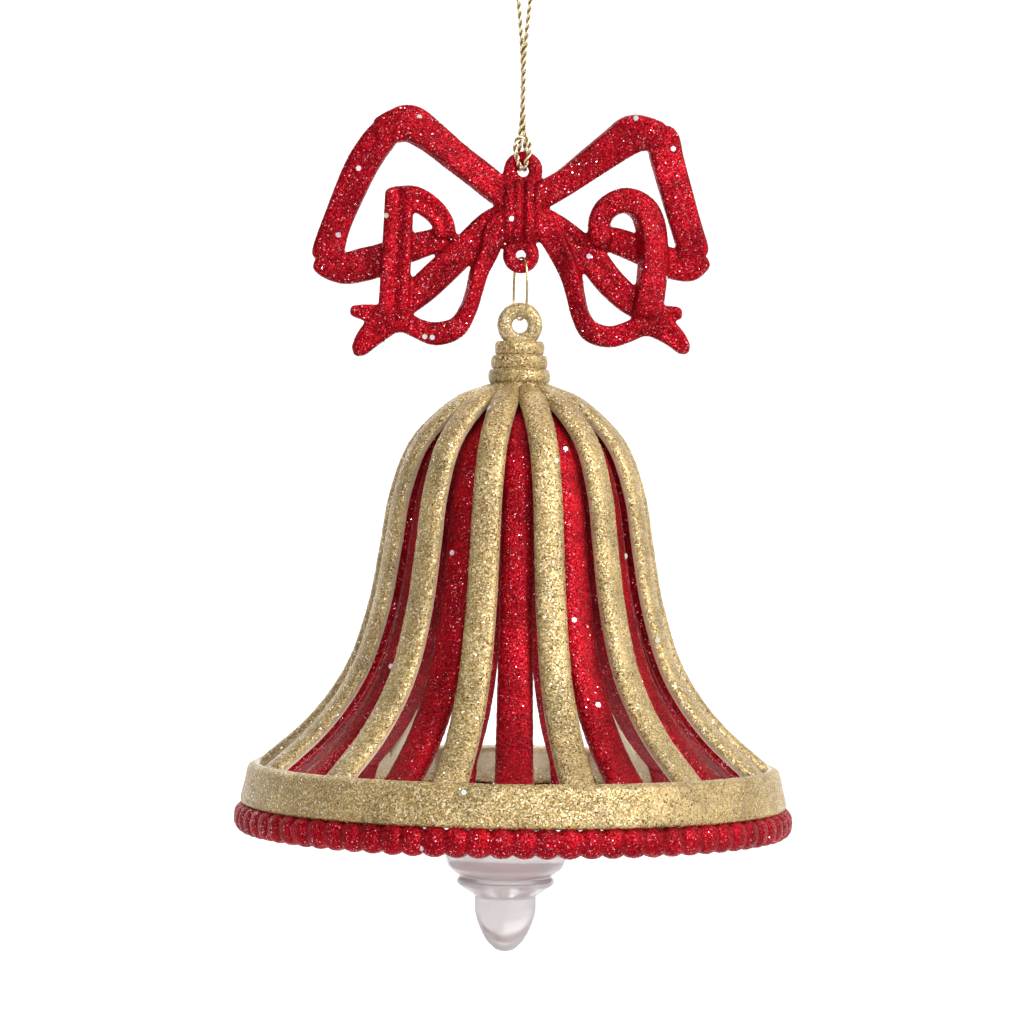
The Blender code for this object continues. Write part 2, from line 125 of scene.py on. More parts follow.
def turned_grid(profile: np.ndarray, columns: int) -> np.ndarray:
    """A profile of radius and depth turned about the vertical: x, y = radius * (cos, sin).

    Args:
        profile: Rows of radius and depth in millimetres.
        columns: Points round the turn.

    Returns:
        A grid of rows by columns by three.
    """
    angle = full_turn(columns)
    radius, depth = profile[:, :1], profile[:, 1:]
    flat = np.ones_like(angle)
    return np.stack([radius * np.cos(angle), radius * np.sin(angle), -depth * flat], axis=-1)


def carried_frames(path: np.ndarray) -> tuple[np.ndarray, np.ndarray]:
    """Two axes square to a path at each point, carried along it without twisting.

    Args:
        path: Points of the path.

    Returns:
        The side and the up axes, one row for each point.
    """
    tangent = unit(np.gradient(path, axis=0))
    start = np.array([1.0, 0.0, 0.0]) if abs(tangent[0, 0]) < 0.8 else np.array([0.0, 1.0, 0.0])
    side = np.empty_like(path)
    current = start
    for index, along in enumerate(tangent):
        current = current - along * current.dot(along)
        current = current / np.linalg.norm(current)
        side[index] = current
    return side, np.cross(tangent, side)


def tube_grid(path: np.ndarray, radius: np.ndarray, columns: int) -> np.ndarray:
    """A tube: point = path + radius * (side * cos + up * sin).

    Args:
        path: Points of the middle line in millimetres.
        radius: One radius, one for each point, or one for each point and column.
        columns: Points round the tube.

    Returns:
        A grid of rows by columns by three.
    """
    side, up = carried_frames(path)
    angle = full_turn(columns)[None, :, None]
    radius = np.broadcast_to(np.asarray(radius, dtype=float), (len(path), columns)
                             if np.ndim(radius) == 2 else (len(path),))
    radius = radius[:, :, None] if radius.ndim == 2 else radius[:, None, None]
    return path[:, None, :] + radius * (side[:, None, :] * np.cos(angle)
                                        + up[:, None, :] * np.sin(angle))


def rounded_ends(count: int, radius: float, spacing: float) -> np.ndarray:
    """Radii for a tube with round ends: a quarter circle at each end of a level run.

    Args:
        count: How many points the tube's path has.
        radius: Radius of the level run in millimetres.
        spacing: Distance between two points of the path.

    Returns:
        One radius for each point.
    """
    first_run = 0.04 * radius
    run = np.minimum(np.arange(count), np.arange(count)[::-1]) * spacing + first_run
    inside = np.clip(1 - run / radius, 0, 1)
    return radius * np.sqrt(1 - inside ** 2)


def ring_grid(x: float, z: float, outer: float, hole: float, depth: float,
              power: float) -> np.ndarray:
    """A flat ring about an axis along Y: a superellipse carried round a circle.

    Args:
        x: The ring's middle, across.
        z: The ring's middle, upwards.
        outer: Radius of its outline.
        hole: Radius of its hole.
        depth: Half its thickness along Y.
        power: The superellipse's power.

    Returns:
        A grid of rows by columns by three.
    """
    turn, angle = full_turn(72)[:, None], full_turn(28)[None, :]
    radius = (outer + hole) / 2 + (outer - hole) / 2 * squared(np.cos(angle), power)
    through = depth * squared(np.sin(angle), power) + 0 * turn
    return np.stack([x + radius * np.cos(turn), through, z + radius * np.sin(turn)], -1)


def add_object(name: str, data: bpy.types.ID) -> bpy.types.Object:
    """Link a new object into the scene.

    Args:
        name: Its name.
        data: Its mesh, light or camera.

    Returns:
        The object, at the origin.
    """
    made = bpy.data.objects.new(name, data)
    bpy.context.scene.collection.objects.link(made)
    return made


def mark_coat(mesh: bpy.types.Mesh, values: np.ndarray) -> None:
    """Store how much coating there is at each point of a mesh."""
    coat = mesh.attributes.new("coat", "FLOAT", "POINT")
    coat.data.foreach_set("value", values.astype(np.float32))


@dataclass
class Skin:
    """Surfaces gathered into one mesh, with a coat value from 0 to 1 at each point."""

    verts: list[np.ndarray] = field(default_factory=list)
    faces: list[list[int]] = field(default_factory=list)
    coats: list[np.ndarray] = field(default_factory=list)
    uvs: list[np.ndarray] = field(default_factory=list)
    count: int = 0

    def add(self, grid: np.ndarray, coat: np.ndarray | float = 1.0, ring: bool = False,
            closed: bool = True) -> None:
        """Add one surface whose columns go round, closed by fans at both ends or into a ring.

        Args:
            grid: Points in millimetres, rows by columns by three.
            coat: How much coating there is, for the whole surface or each point.
            ring: Whether the last row joins the first.
            closed: Whether a surface that is no ring gets its two fans.
        """
        rows, columns, _ = grid.shape
        index = np.arange(rows * columns).reshape(rows, columns)
        below = np.roll(index, -1, axis=0) if ring else index[1:]
        above = index if ring else index[:-1]
        quads = np.stack([above, np.roll(above, -1, 1), np.roll(below, -1, 1), below], axis=-1)
        quads = quads.reshape(-1, 4)
        points = grid.reshape(-1, 3)
        run = np.concatenate([run_length(grid.mean(axis=1)), [0.0]])
        step = np.arange(len(above))
        u = np.tile(np.arange(columns) / columns, len(above))
        low, high = np.repeat(run[step], columns), np.repeat(run[step + 1], columns)
        corners = np.stack([np.stack([u, low], -1), np.stack([u + 1 / columns, low], -1),
                            np.stack([u + 1 / columns, high], -1), np.stack([u, high], -1)], 1)
        a, b, c, d = (points[quads[:, k]] for k in range(4))
        volume = np.einsum("ij,ij->", a, np.cross(b, c)) + np.einsum("ij,ij->", a, np.cross(c, d))
        tris = np.empty((0, 3), dtype=int)
        if closed and not ring:
            ends = np.array([grid[0].mean(axis=0), grid[-1].mean(axis=0)])
            points = np.vstack([points, ends])
            first, last = index[0], index[-1]
            hub = rows * columns
            tris = np.vstack([
                np.stack([np.full(columns, hub), np.roll(first, -1), first], axis=-1),
                np.stack([np.full(columns, hub + 1), last, np.roll(last, -1)], axis=-1)])
            a, b, c = (points[tris[:, k]] for k in range(3))
            volume += np.einsum("ij,ij->", a, np.cross(b, c))
        if volume < 0:
            quads, corners, tris = quads[:, ::-1], corners[:, ::-1], tris[:, ::-1]
        self.verts.append(points)
        self.faces += (quads + self.count).tolist() + (tris + self.count).tolist()
        values = np.broadcast_to(coat, (rows, columns)).reshape(-1)
        values = np.concatenate([values, np.full(len(points) - len(values), values.mean())])
        self.coats.append(values)
        self.uvs.append(np.vstack([corners.reshape(-1, 2), np.zeros((tris.size, 2))]))
        self.count += len(points)

    def build(self, name: str) -> bpy.types.Object:
        """Make the gathered surfaces one object at the origin.

        Args:
            name: The piece's name.

        Returns:
            The new object, shaded smooth, with its coat attribute and its UV map.
        """
        mesh = bpy.data.meshes.new(name)
        mesh.from_pydata((np.vstack(self.verts) * MM).tolist(), [], self.faces)
        mesh.shade_smooth()
        mark_coat(mesh, np.concatenate(self.coats))
        layer = mesh.uv_layers.new(name="lay")
        layer.data.foreach_set("uv", np.vstack(self.uvs).astype(np.float32).ravel())
        return add_object(name, mesh)


def roughen(piece: bpy.types.Object, height: float, seed: int) -> None:
    """Move each point of a coated surface along its normal by a seeded random height.

    Args:
        piece: The piece to change.
        height: Largest move in millimetres, about half a glitter grain.
        seed: Seed of the random draw.
    """
    mesh = piece.data
    size = len(mesh.vertices) * 3
    places, normals = np.empty(size, np.float32), np.empty(size, np.float32)
    mesh.vertices.foreach_get("co", places)
    mesh.vertices.foreach_get("normal", normals)
    draw = np.random.default_rng(seed).uniform(-1, 1, len(mesh.vertices))
    if "coat" in mesh.attributes:
        coat = np.empty(len(mesh.vertices), np.float32)
        mesh.attributes["coat"].data.foreach_get("value", coat)
        least = 0.15
        draw *= np.clip(coat, least, 1.0)
    moved = places.reshape(-1, 3) + normals.reshape(-1, 3) * (draw * height * MM)[:, None]
    mesh.vertices.foreach_set("co", moved.astype(np.float32).ravel())
    mesh.update()


def settle(piece: bpy.types.Object, body: Body, finish: bpy.types.Material) -> None:
    """Give a piece its finish and its body, and say so in the log.

    Args:
        piece: The piece.
        body: The moving group that it rides on.
        finish: Its material.
    """
    piece.data.materials.clear()
    piece.data.materials.append(finish)
    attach(piece, body.value)
    LOG.info("%s: %d faces, rides on %s", piece.name, len(piece.data.polygons), body.value)


# ---------------------------------------------------------------- finishes


RAMP, MIX, MATH = "ShaderNodeValToRGB", "ShaderNodeMix", "ShaderNodeMath"
NOISE, VECTOR, COORDS = "ShaderNodeTexNoise", "ShaderNodeVectorMath", "ShaderNodeTexCoord"
Colour = tuple[float, float, float, float]


def linear(code: str) -> Colour:
    """An sRGB hex colour as linear red, green, blue and alpha."""
    values = [int(code[k:k + 2], 16) / 255 for k in (0, 2, 4)]
    return (*[v / 12.92 if v <= 0.04045 else ((v + 0.055) / 1.055) ** 2.4 for v in values], 1.0)


def grey(value: float) -> Colour:
    """A grey ramp colour that carries a plain number."""
    return (value, value, value, 1.0)


def even_stops(codes: tuple[str, ...], steps: int) -> tuple[tuple[float, Colour], ...]:
    """A ramp stop for each hex colour, from 0 up, at so many steps to the unit."""
    return tuple((k / steps, linear(code)) for k, code in enumerate(codes))


def set_node(tree: bpy.types.NodeTree, node: bpy.types.Node, settings: dict | None = None,
             links: dict | None = None) -> bpy.types.Node:
    """Give a shader node its settings, socket values and links.

    Args:
        tree: The node tree.
        node: The node.
        settings: Property names, or socket names or numbers, and their values. For a colour ramp
            "stops" holds its places and colours, and "steps" makes it jump between them.
        links: Input socket names or numbers, and the output sockets that feed them.

    Returns:
        The same node.
    """
    for key, value in (settings or {}).items():
        if key == "stops":
            band = node.color_ramp
            while len(band.elements) < len(value):
                band.elements.new(1.0)
            for element, (place, colour) in zip(band.elements, value):
                element.position, element.color = place, colour
        elif key == "steps":
            node.color_ramp.interpolation = "CONSTANT" if value else "LINEAR"
        elif isinstance(key, str) and hasattr(node, key):
            setattr(node, key, value)
        else:
            node.inputs[key].default_value = value
    for key, output in (links or {}).items():
        tree.links.new(output, node.inputs[key])
    return node


def add_node(tree: bpy.types.NodeTree, kind: str, settings: dict | None = None,
             links: dict | None = None) -> bpy.types.Node:
    """Add a shader node of a kind, with its settings and links as set_node takes them."""
    return set_node(tree, tree.nodes.new(kind), settings, links)


def new_tree(name: str) -> tuple[bpy.types.Material, bpy.types.NodeTree, bpy.types.Node]:
    """Make a material to draw a finish in.

    Args:
        name: The material's name.

    Returns:
        The material, its node tree and its Principled shader.
    """
    made = bpy.data.materials.new(name)
    made.use_nodes = True
    return made, made.node_tree, made.node_tree.nodes["Principled BSDF"]


@dataclass(frozen=True)
class GlitterCoat:
    """Polyester glitter in clear lacquer on moulded polystyrene.

    Each grain is a tiny metallised flake that lies at its own angle, so neighbours run from dark to
    mirror bright. Where there is no coat, the clear plastic shows the grains' dull backs.
    """

    name: str
    shades: tuple[str, ...]
    accents: tuple[str, ...]
    bare: str
    grain_mm: float = 0.19
    tilt: float = 0.55
    sparkle_tilt: float = 0.85
    sheen: float = 0.8
    gloss: float = 0.5
    rough: float = 0.42
    sparkle_rough: float = 0.14
    bare_rough: float = 0.1
    rare: float = 0.9
    patchy: float = 0.72
    patch_mm: float = 5.0

    def material(self) -> bpy.types.Material:
        """Build the coat as a node material.

        Returns:
            The material.
        """
        made, tree, shader = new_tree(self.name)
        place = add_node(tree, COORDS).outputs["Object"]
        # Grains of 0.1 to 0.2 mm are finer than the image, so they are drawn at grain_mm.
        grains = add_node(tree, "ShaderNodeTexVoronoi", {"Scale": 1 / (self.grain_mm * MM)},
                          {"Vector": place}).outputs["Color"]
        shade, pick, turn = add_node(tree, "ShaderNodeSeparateColor", links={0: grains}).outputs
        base = add_node(tree, RAMP, {"stops": even_stops(self.shades, len(self.shades) - 1)},
                        {0: shade}).outputs[0]
        extra = add_node(tree, RAMP, {"stops": even_stops(self.accents, len(self.accents)),
                                      "steps": True}, {0: turn}).outputs[0]
        # A few grains lie steeply and in an odd colour: these are the sparkles.
        odd, metal, rough, steep = (
            add_node(tree, RAMP, {"stops": tuple((at, grey(value)) for at, value in levels),
                                  "steps": True}, {0: pick}).outputs[0]
            for levels in (((0.0, 0.0), (self.rare, 1.0)),
                           ((0.0, self.sheen * 0.5), (0.5, self.sheen), (self.rare, 1.0)),
                           ((0.0, self.rough), (self.rare, self.sparkle_rough)),
                           ((0.0, self.tilt), (self.rare, self.sparkle_tilt))))
        mixed = add_node(tree, MIX, {"data_type": "RGBA"}, {0: odd, 6: base, 7: extra})
        patch = add_node(tree, NOISE, {"Scale": 1 / (self.patch_mm * MM), "Detail": 4.0},
                         {"Vector": place})
        depth = add_node(tree, RAMP, {"stops": ((0.3, grey(self.patchy)), (0.7, grey(1.1)))},
                         {0: patch.outputs[0]}).outputs[0]
        toned = add_node(tree, MIX, {"data_type": "RGBA", "blend_type": "MULTIPLY", 0: 1.0},
                         {6: mixed.outputs[2], 7: depth})
        coat = add_node(tree, "ShaderNodeAttribute", {"attribute_name": "coat"}).outputs["Fac"]
        seen = add_node(tree, MIX, {"data_type": "RGBA", 6: linear(self.bare)},
                        {0: coat, 7: toned.outputs[2]})
        metallic, roughness = (
            add_node(tree, MIX, {"data_type": "FLOAT", 2: bare}, {0: coat, 3: value}).outputs[0]
            for value, bare in ((metal, 0.0), (rough, self.bare_rough)))
        lean = add_node(tree, VECTOR, {"operation": "SUBTRACT", 1: (0.5, 0.5, 0.5)}, {0: grains})
        amount = add_node(tree, MATH, {"operation": "MULTIPLY"}, {0: coat, 1: steep})
        scaled = add_node(tree, VECTOR, {"operation": "SCALE"},
                          {0: lean.outputs[0], 3: amount.outputs[0]})
        normal = add_node(tree, "ShaderNodeNewGeometry").outputs["Normal"]
        facing = add_node(tree, VECTOR, {"operation": "ADD"}, {0: normal, 1: scaled.outputs[0]})
        even = add_node(tree, VECTOR, {"operation": "NORMALIZE"}, {0: facing.outputs[0]})
        set_node(tree, shader, {"Specular IOR Level": self.gloss},
                 {"Base Color": seen.outputs[2], "Metallic": metallic, "Roughness": roughness,
                  "Normal": even.outputs[0]})
        return made


@dataclass(frozen=True)
class MetallicYarn:
    """Two-ply lurex yarn: slit metallised film wound on a core, so fine bright strips run round."""

    name: str = "metallic_yarn"
    turn_mm: float = 2.7
    # dark and bright end the ramp: the strips' tone plus the painted groove shade and crown
    # highlight.
    dark: str = "4a340e"
    middle: str = "b4934e"
    bright: str = "fff6d8"

    def material(self) -> bpy.types.Material:
        """Build the yarn as a node material on the cord's own UV map.

        Returns:
            The material.
        """
        made, tree, shader = new_tree(self.name)
        place = add_node(tree, "ShaderNodeUVMap", {"uv_map": "lay"}).outputs[0]
        # The film is 0.1 mm wide: v runs in millimetres and u once round the cord.
        lay = add_node(tree, "ShaderNodeMapping", {"Scale": (6.0, 7.0, 1.0),
                                                   "Rotation": (0.0, 0.0, 0.5)}, {0: place})
        strips = add_node(tree, NOISE, {"Scale": 1.0, "Detail": 2.0}, {"Vector": lay.outputs[0]})
        # Painted light: a highlight on each ply's crown and shade in the groove between, twice a
        # turn.
        wind = 4 * math.pi
        phase = add_node(tree, VECTOR, {"operation": "DOT_PRODUCT",
                                        1: (wind, -wind / self.turn_mm, 0.0)}, {0: place})
        ply_light_and_shade = add_node(tree, MATH, {"operation": "COSINE"}, {0: phase.outputs["Value"]})
        # The ramp's input is the strips' own tone plus the painted ply highlight and shade.
        tone_and_painted_shade = add_node(tree, MATH, {"operation": "MULTIPLY_ADD", 1: 0.2},
                          {0: ply_light_and_shade.outputs[0], 2: strips.outputs[0]})
        colour = add_node(tree, RAMP, {
            "stops": ((0.28, linear(self.dark)), (0.46, linear(self.middle)),
                      (0.68, linear(self.bright))),
        }, {0: tone_and_painted_shade.outputs[0]}).outputs[0]
        bump = add_node(tree, "ShaderNodeBump", {"Strength": 0.6, "Distance": 0.04 * MM},
                        {"Height": strips.outputs[0]})
        set_node(tree, shader, {"Metallic": 0.85, "Roughness": 0.3},
                 {"Base Color": colour, "Normal": bump.outputs[0]})
        return made


@dataclass(frozen=True)
class PlatedWire:
    """Drawn brass-plated steel wire: pale gold, with faint draw marks and dull spots."""

    name: str = "plated_wire"
    bright: str = "dcc894"
    dull: str = "a58c55"
    spot_mm: float = 0.9

    def material(self) -> bpy.types.Material:
        """Build the wire's plating as a node material.

        Returns:
            The material.
        """
        made, tree, shader = new_tree(self.name)
        place = add_node(tree, COORDS).outputs["Object"]
        spots = add_node(tree, NOISE, {"Scale": 1 / (self.spot_mm * MM), "Detail": 4.0},
                         {"Vector": place})
        colour, rough = (
            add_node(tree, RAMP, {"stops": stops}, {0: spots.outputs[0]}).outputs[0]
            for stops in (((0.38, linear(self.dull)), (0.6, linear(self.bright))),
                          ((0.3, grey(0.38)), (0.7, grey(0.2)))))
        set_node(tree, shader, {"Metallic": 1.0}, {"Base Color": colour, "Roughness": rough})
        return made


@dataclass(frozen=True)
class ClearAcrylic:
    """Injection-moulded clear acrylic: glassy, a trace of pink, with faint flow waves."""

    name: str = "clear_acrylic"
    tint: str = "e6e1e1"
    pale: str = "f0ecec"
    index: float = 1.49
    clearness: float = 0.6
    wave_mm: float = 7.0

    def material(self) -> bpy.types.Material:
        """Build the acrylic as a node material.

        Returns:
            The material.
        """
        made, tree, shader = new_tree(self.name)
        place = add_node(tree, COORDS).outputs["Object"]
        flow = add_node(tree, NOISE, {"Scale": 1 / (self.wave_mm * MM), "Detail": 2.0},
                        {"Vector": place}).outputs[0]
        colour, rough = (
            add_node(tree, RAMP, {"stops": stops}, {0: flow}).outputs[0]
            for stops in (((0.35, linear(self.tint)), (0.7, linear(self.pale))),
                          ((0.3, grey(0.1)), (0.75, grey(0.2)))))
        bump = add_node(tree, "ShaderNodeBump", {"Strength": 0.25, "Distance": 0.15 * MM},
                        {"Height": flow})
        set_node(tree, shader, {"IOR": self.index, "Transmission Weight": self.clearness},
                 {"Base Color": colour, "Roughness": rough, "Normal": bump.outputs[0]})
        return made


@dataclass(frozen=True)
class PearlFilm:
    """Iridescent polyester film cut to hexagons: silver white, each flake in its own pale hue."""

    name: str = "pearl_film"
    hues: tuple[str, ...] = ("dcd6da", "c4d6ca", "dcc8cf", "cfcbe0", "dcd8c2")
    cell_mm: float = 3.0

    def material(self) -> bpy.types.Material:
        """Build the film as a node material.

        Returns:
            The material.
        """
        made, tree, shader = new_tree(self.name)
        place = add_node(tree, COORDS).outputs["Object"]
        # One cell is wider than a flake, so that a flake keeps to one hue.
        cells = add_node(tree, "ShaderNodeTexVoronoi", {"Scale": 1 / (self.cell_mm * MM)},
                         {"Vector": place})
        value = add_node(tree, "ShaderNodeSeparateColor", links={0: cells.outputs["Color"]})
        hue = add_node(tree, RAMP, {"stops": even_stops(self.hues, len(self.hues)),
                                    "steps": True}, {0: value.outputs[0]})
        set_node(tree, shader, {"Metallic": 0.35, "Roughness": 0.28, "Coat Weight": 0.6},
                 {"Base Color": hue.outputs[0]})
        return made


@dataclass(frozen=True)
class StudioPaper:
    """Matt studio paper: nearly white, with a faint pulp mottle."""

    name: str = "studio_paper"
    light: str = "f4f2f2"
    shade: str = "ecebeb"

    def material(self) -> bpy.types.Material:
        """Build the paper as a node material.

        Returns:
            The material.
        """
        made, tree, shader = new_tree(self.name)
        place = add_node(tree, COORDS).outputs["Object"]
        pulp = add_node(tree, NOISE, {"Scale": 90.0, "Detail": 4.0}, {"Vector": place})
        colour = add_node(tree, RAMP, {
            "stops": ((0.3, linear(self.shade)), (0.7, linear(self.light))),
        }, {0: pulp.outputs[0]})
        set_node(tree, shader, {"Roughness": 0.9}, {"Base Color": colour.outputs[0]})
        return made


@dataclass
class Finishes:
    """One material for each finish of the ornament."""

    red: bpy.types.Material = field(default_factory=lambda: GlitterCoat(
        "red_glitter_coat", ("70000c", "86020f", "9a0414", "ad0719", "cc2032"),
        ("ffaab6", "ff7f8c", "e8806a", "ff4a60", "ffbfc8"), "5a0610", grain_mm=0.155,
        sheen=0.75, gloss=0.12, rare=0.93, patchy=0.55).material())
    gold: bpy.types.Material = field(default_factory=lambda: GlitterCoat(
        "gold_glitter_coat", ("8c7044", "a1864f", "b2965f", "c2aa74", "dccb9c"),
        ("fffdf2", "fff3cf", "b9804f", "a3a868", "e6b8a4"), "cfc2a4", tilt=0.5,
        sheen=0.5).material())
    yarn: bpy.types.Material = field(default_factory=lambda: MetallicYarn().material())
    wire: bpy.types.Material = field(default_factory=lambda: PlatedWire().material())
    clear: bpy.types.Material = field(default_factory=lambda: ClearAcrylic().material())
    pearl: bpy.types.Material = field(default_factory=lambda: PearlFilm().material())
    paper: bpy.types.Material = field(default_factory=lambda: StudioPaper().material())


# ---------------------------------------------------------------- camera and stage


@dataclass(frozen=True)
class Softbox:
    """A square soft light that faces the ornament's middle, or a direction of its own."""

    name: str
    place: tuple[float, float, float]
    power: float
    size: float
    colour: str = "ffffff"
    spread: float = 180.0
    facing: tuple[float, float, float] | None = None

    def switch_on(self, middle: float) -> None:
        """Add the light to the scene.

        Args:
            middle: Height of the ornament's middle, which the light's place is measured from.
        """
        data = bpy.data.lights.new(self.name, "AREA")
        data.energy, data.size = self.power, self.size
        data.color = linear(self.colour)[:3]
        data.spread = math.radians(self.spread)
        lamp = add_object(self.name, data)
        lamp.location = Vector(self.place) + Vector((0.0, 0.0, middle))
        way = Vector(self.facing) if self.facing else -Vector(self.place)
        lamp.rotation_euler = way.to_track_quat("-Z", "Y").to_euler()


@dataclass
class Studio:
    """Camera, soft lights and a pale paper bowl round the hanging ornament, in metres."""

    distance: float = 0.5
    field_mm: float = 153.6
    aim: tuple[float, float] = (-0.0008, -0.10875)
    roll_degrees: float = -0.8
    sensor: float = 36.0
    softboxes: tuple[Softbox, ...] = (
        Softbox("window", (0.8, -0.55, 0.55), 3.0, 0.45, spread=90.0),
        Softbox("front", (0.1, -1.0, 0.5), 0.75, 0.5, spread=90.0),
        Softbox("fill", (-0.9, -0.5, 0.1), 0.5, 0.8, "e9eeff"),
        Softbox("top", (0.1, 0.1, 1.1), 2.6, 0.7),
        Softbox("back", (-0.3, 0.9, 0.5), 1.2, 0.8),
        Softbox("spark_right", (0.45, -0.95, 0.3), 0.8, 0.03),
        Softbox("spark_left", (-0.4, -0.95, 0.45), 0.5, 0.03),
        Softbox("spark_top", (0.15, -0.5, 0.95), 0.6, 0.03),
        # The washes stand behind the ornament, face the paper and whiten it.
        *(Softbox("wash", (1.0 * side, 0.55, 0.45875), 7.0, 0.8, spread=120.0,
                  facing=(-0.45 * side, 1.0, -0.25)) for side in (-1, 1)),
        Softbox("wash", (0.0, 0.85, 0.85875), 2.6, 0.8, spread=120.0, facing=(0.0, -0.1, -1.0)))
    daylight: str = "f3f3f6"
    daylight_strength: float = 0.22
    floor: float = -0.262
    flat_radius: float = 1.1
    wall_radius: float = 1.9
    wall_top: float = 2.6

    def place_camera(self) -> None:
        """Put the camera level in front of the ornament, rolled a little as it was held."""
        data = bpy.data.cameras.new("camera")
        data.sensor_width = self.sensor
        data.lens = self.sensor * self.distance / (self.field_mm * MM)
        camera = add_object("camera", data)
        camera.location = (self.aim[0], -self.distance, self.aim[1])
        camera.rotation_euler = (math.pi / 2, math.radians(self.roll_degrees), 0.0)
        bpy.context.scene.camera = camera

    def light(self) -> None:
        """Switch on the softboxes, the small sparkle lights, the washes and the world."""
        for softbox in self.softboxes:
            softbox.switch_on(self.aim[1])
        world = bpy.data.worlds.new("daylight")
        world.use_nodes = True
        set_node(world.node_tree, world.node_tree.nodes["Background"],
                 {"Color": linear(self.daylight), "Strength": self.daylight_strength})
        bpy.context.scene.world = world
        bpy.context.scene.view_settings.view_transform = "Standard"

    def lay_floor(self, paper: bpy.types.Material) -> None:
        """Turn the paper bowl: a flat floor under the ornament that curves up all round.

        Args:
            paper: The bowl's material.
        """
        bend = self.wall_radius - self.flat_radius
        turn = np.linspace(-math.pi / 2, 0, 24)
        curve = np.column_stack([self.flat_radius + bend * np.cos(turn),
                                 self.floor + bend * (1 + np.sin(turn))])
        profile = np.vstack([[[0.00001, self.floor]], curve, [[self.wall_radius, self.wall_top]]])
        bowl = Skin()
        bowl.add(turned_grid(profile / MM * (1, -1), 96), coat=0.0, closed=False)
        sweep = bowl.build("paper_bowl")
        sweep.data.materials.append(paper)


# ---------------------------------------------------------------- cord


@dataclass
class HangingCord:
    """One length of two-ply cord, doubled, hitched on the upper eyelet and knotted at the top."""

    diameter: float = 0.56
    ply_radius: float = 0.2
    ply_offset: float = 0.18
    turn_length: float = 2.7
    rows_per_turn: int = 22
    columns: int = 20
    half_route: tuple = (
        (-0.42, 0.00, 0.25), (-1.60, 0.00, -2.40), (-3.00, 0.00, -7.00), (-3.35, 0.00, -13.0),
        (-2.60, 0.00, -20.5), (-1.65, 0.00, -27.0), (-0.85, 0.00, -32.5), (-0.34, 0.08, -38.0),
        (-0.10, 0.36, -42.5), (-0.10, 0.36, -48.3), (-0.35, 0.30, -52.2), (-0.40, 1.10, -54.1),
        (-0.38, 1.45, -55.9), (-0.36, 0.95, -57.15), (-0.36, 0.00, -57.35), (-0.40, -0.95, -57.1),
        (-0.66, -1.45, -56.2), (-1.05, -1.40, -54.8), (-1.00, -1.05, -53.5), (-0.45, -0.85, -52.75))
    knot_height: float = 1.9
    knot_scale: float = 0.42
    knot_radius: float = 0.26
    hitch_top: float = -51.0
    tail: float = 4.9

    def twisted(self, path: np.ndarray) -> np.ndarray:
        """A two-ply tube round a path: the outline of two round plies that turn as it runs.

        In words, at an angle a from the line of the plies the radius is offset * |cos a| plus the
        root of (ply radius squared less (offset * sin a) squared).

        Args:
            path: Points of the cord's middle line.

        Returns:
            The tube's grid.
        """
        turn = run_length(path)[:, None] * 2 * math.pi / self.turn_length
        angle = full_turn(self.columns)[None, :] - turn
        radius = (self.ply_offset * np.abs(np.cos(angle))
                  + np.sqrt(self.ply_radius ** 2 - (self.ply_offset * np.sin(angle)) ** 2))
        return tube_grid(path, radius, self.columns)

    def rows(self, route: np.ndarray) -> int:
        """How many rings a stretch of cord needs."""
        return max(12, int(run_length(np.array(route))[-1] / self.turn_length * self.rows_per_turn))

    def knot(self) -> bpy.types.Object:
        """The overhand knot at the top: a trefoil of cord, its two entries and its two tails.

        The trefoil is ((2 + cos 3t) cos 2t, (2 + cos 3t) sin 2t, 1.5 sin 3t), scaled.

        Returns:
            The knot as one piece.
        """
        skin = Skin()
        t = full_turn(180)
        wide = 2 + np.cos(3 * t)
        loop = np.column_stack([wide * np.cos(2 * t), 1.5 * np.sin(3 * t), wide * np.sin(2 * t)])
        loop = loop * self.knot_scale + (0.0, 0.0, self.knot_height)
        along = np.roll(loop, -1, 0) - np.roll(loop, 1, 0)
        side = unit(np.cross(along, (0.0, 1.0, 0.0)))
        up = unit(np.cross(side, along))
        angle = full_turn(12)[None, :, None]
        skin.add(loop[:, None] + self.knot_radius * (side[:, None] * np.cos(angle)
                                                     + up[:, None] * np.sin(angle)), ring=True)
        for sign in (-1, 1):
            start = self.knot_height
            entry = ((sign * 0.42, 0.0, 0.3), (sign * 0.33, 0.0, 0.8), (sign * 0.2, 0.0, start))
            tail = ((sign * 0.2, 0.0, start), (sign * 0.45, sign * 0.1, start + self.tail / 2),
                    (sign * 1.3, sign * 0.3, start + self.tail))
            for route in (entry, tail):
                skin.add(self.twisted(smooth_curve(route, self.rows(route))))
        return skin.build("overhand_knot")

    def build(self, finishes: Finishes) -> None:
        """Args:
            finishes: The materials.
        """
        half = list(self.half_route)
        # Above the hitch the two strands lie one behind the other.
        route = half + [(-x, y if z < self.hitch_top else -y, z) for x, y, z in reversed(half)]
        path = smooth_curve(route, self.rows(route))
        skin = Skin()
        skin.add(self.twisted(path))
        cord = skin.build("metallic_cord")
        knot = self.knot()
        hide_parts("hanging_cord")
        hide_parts("cord_knot")
        settle(cord, Body.CORD, finishes.yarn)
        settle(knot, Body.CORD, finishes.yarn)


# ---------------------------------------------------------------- bow


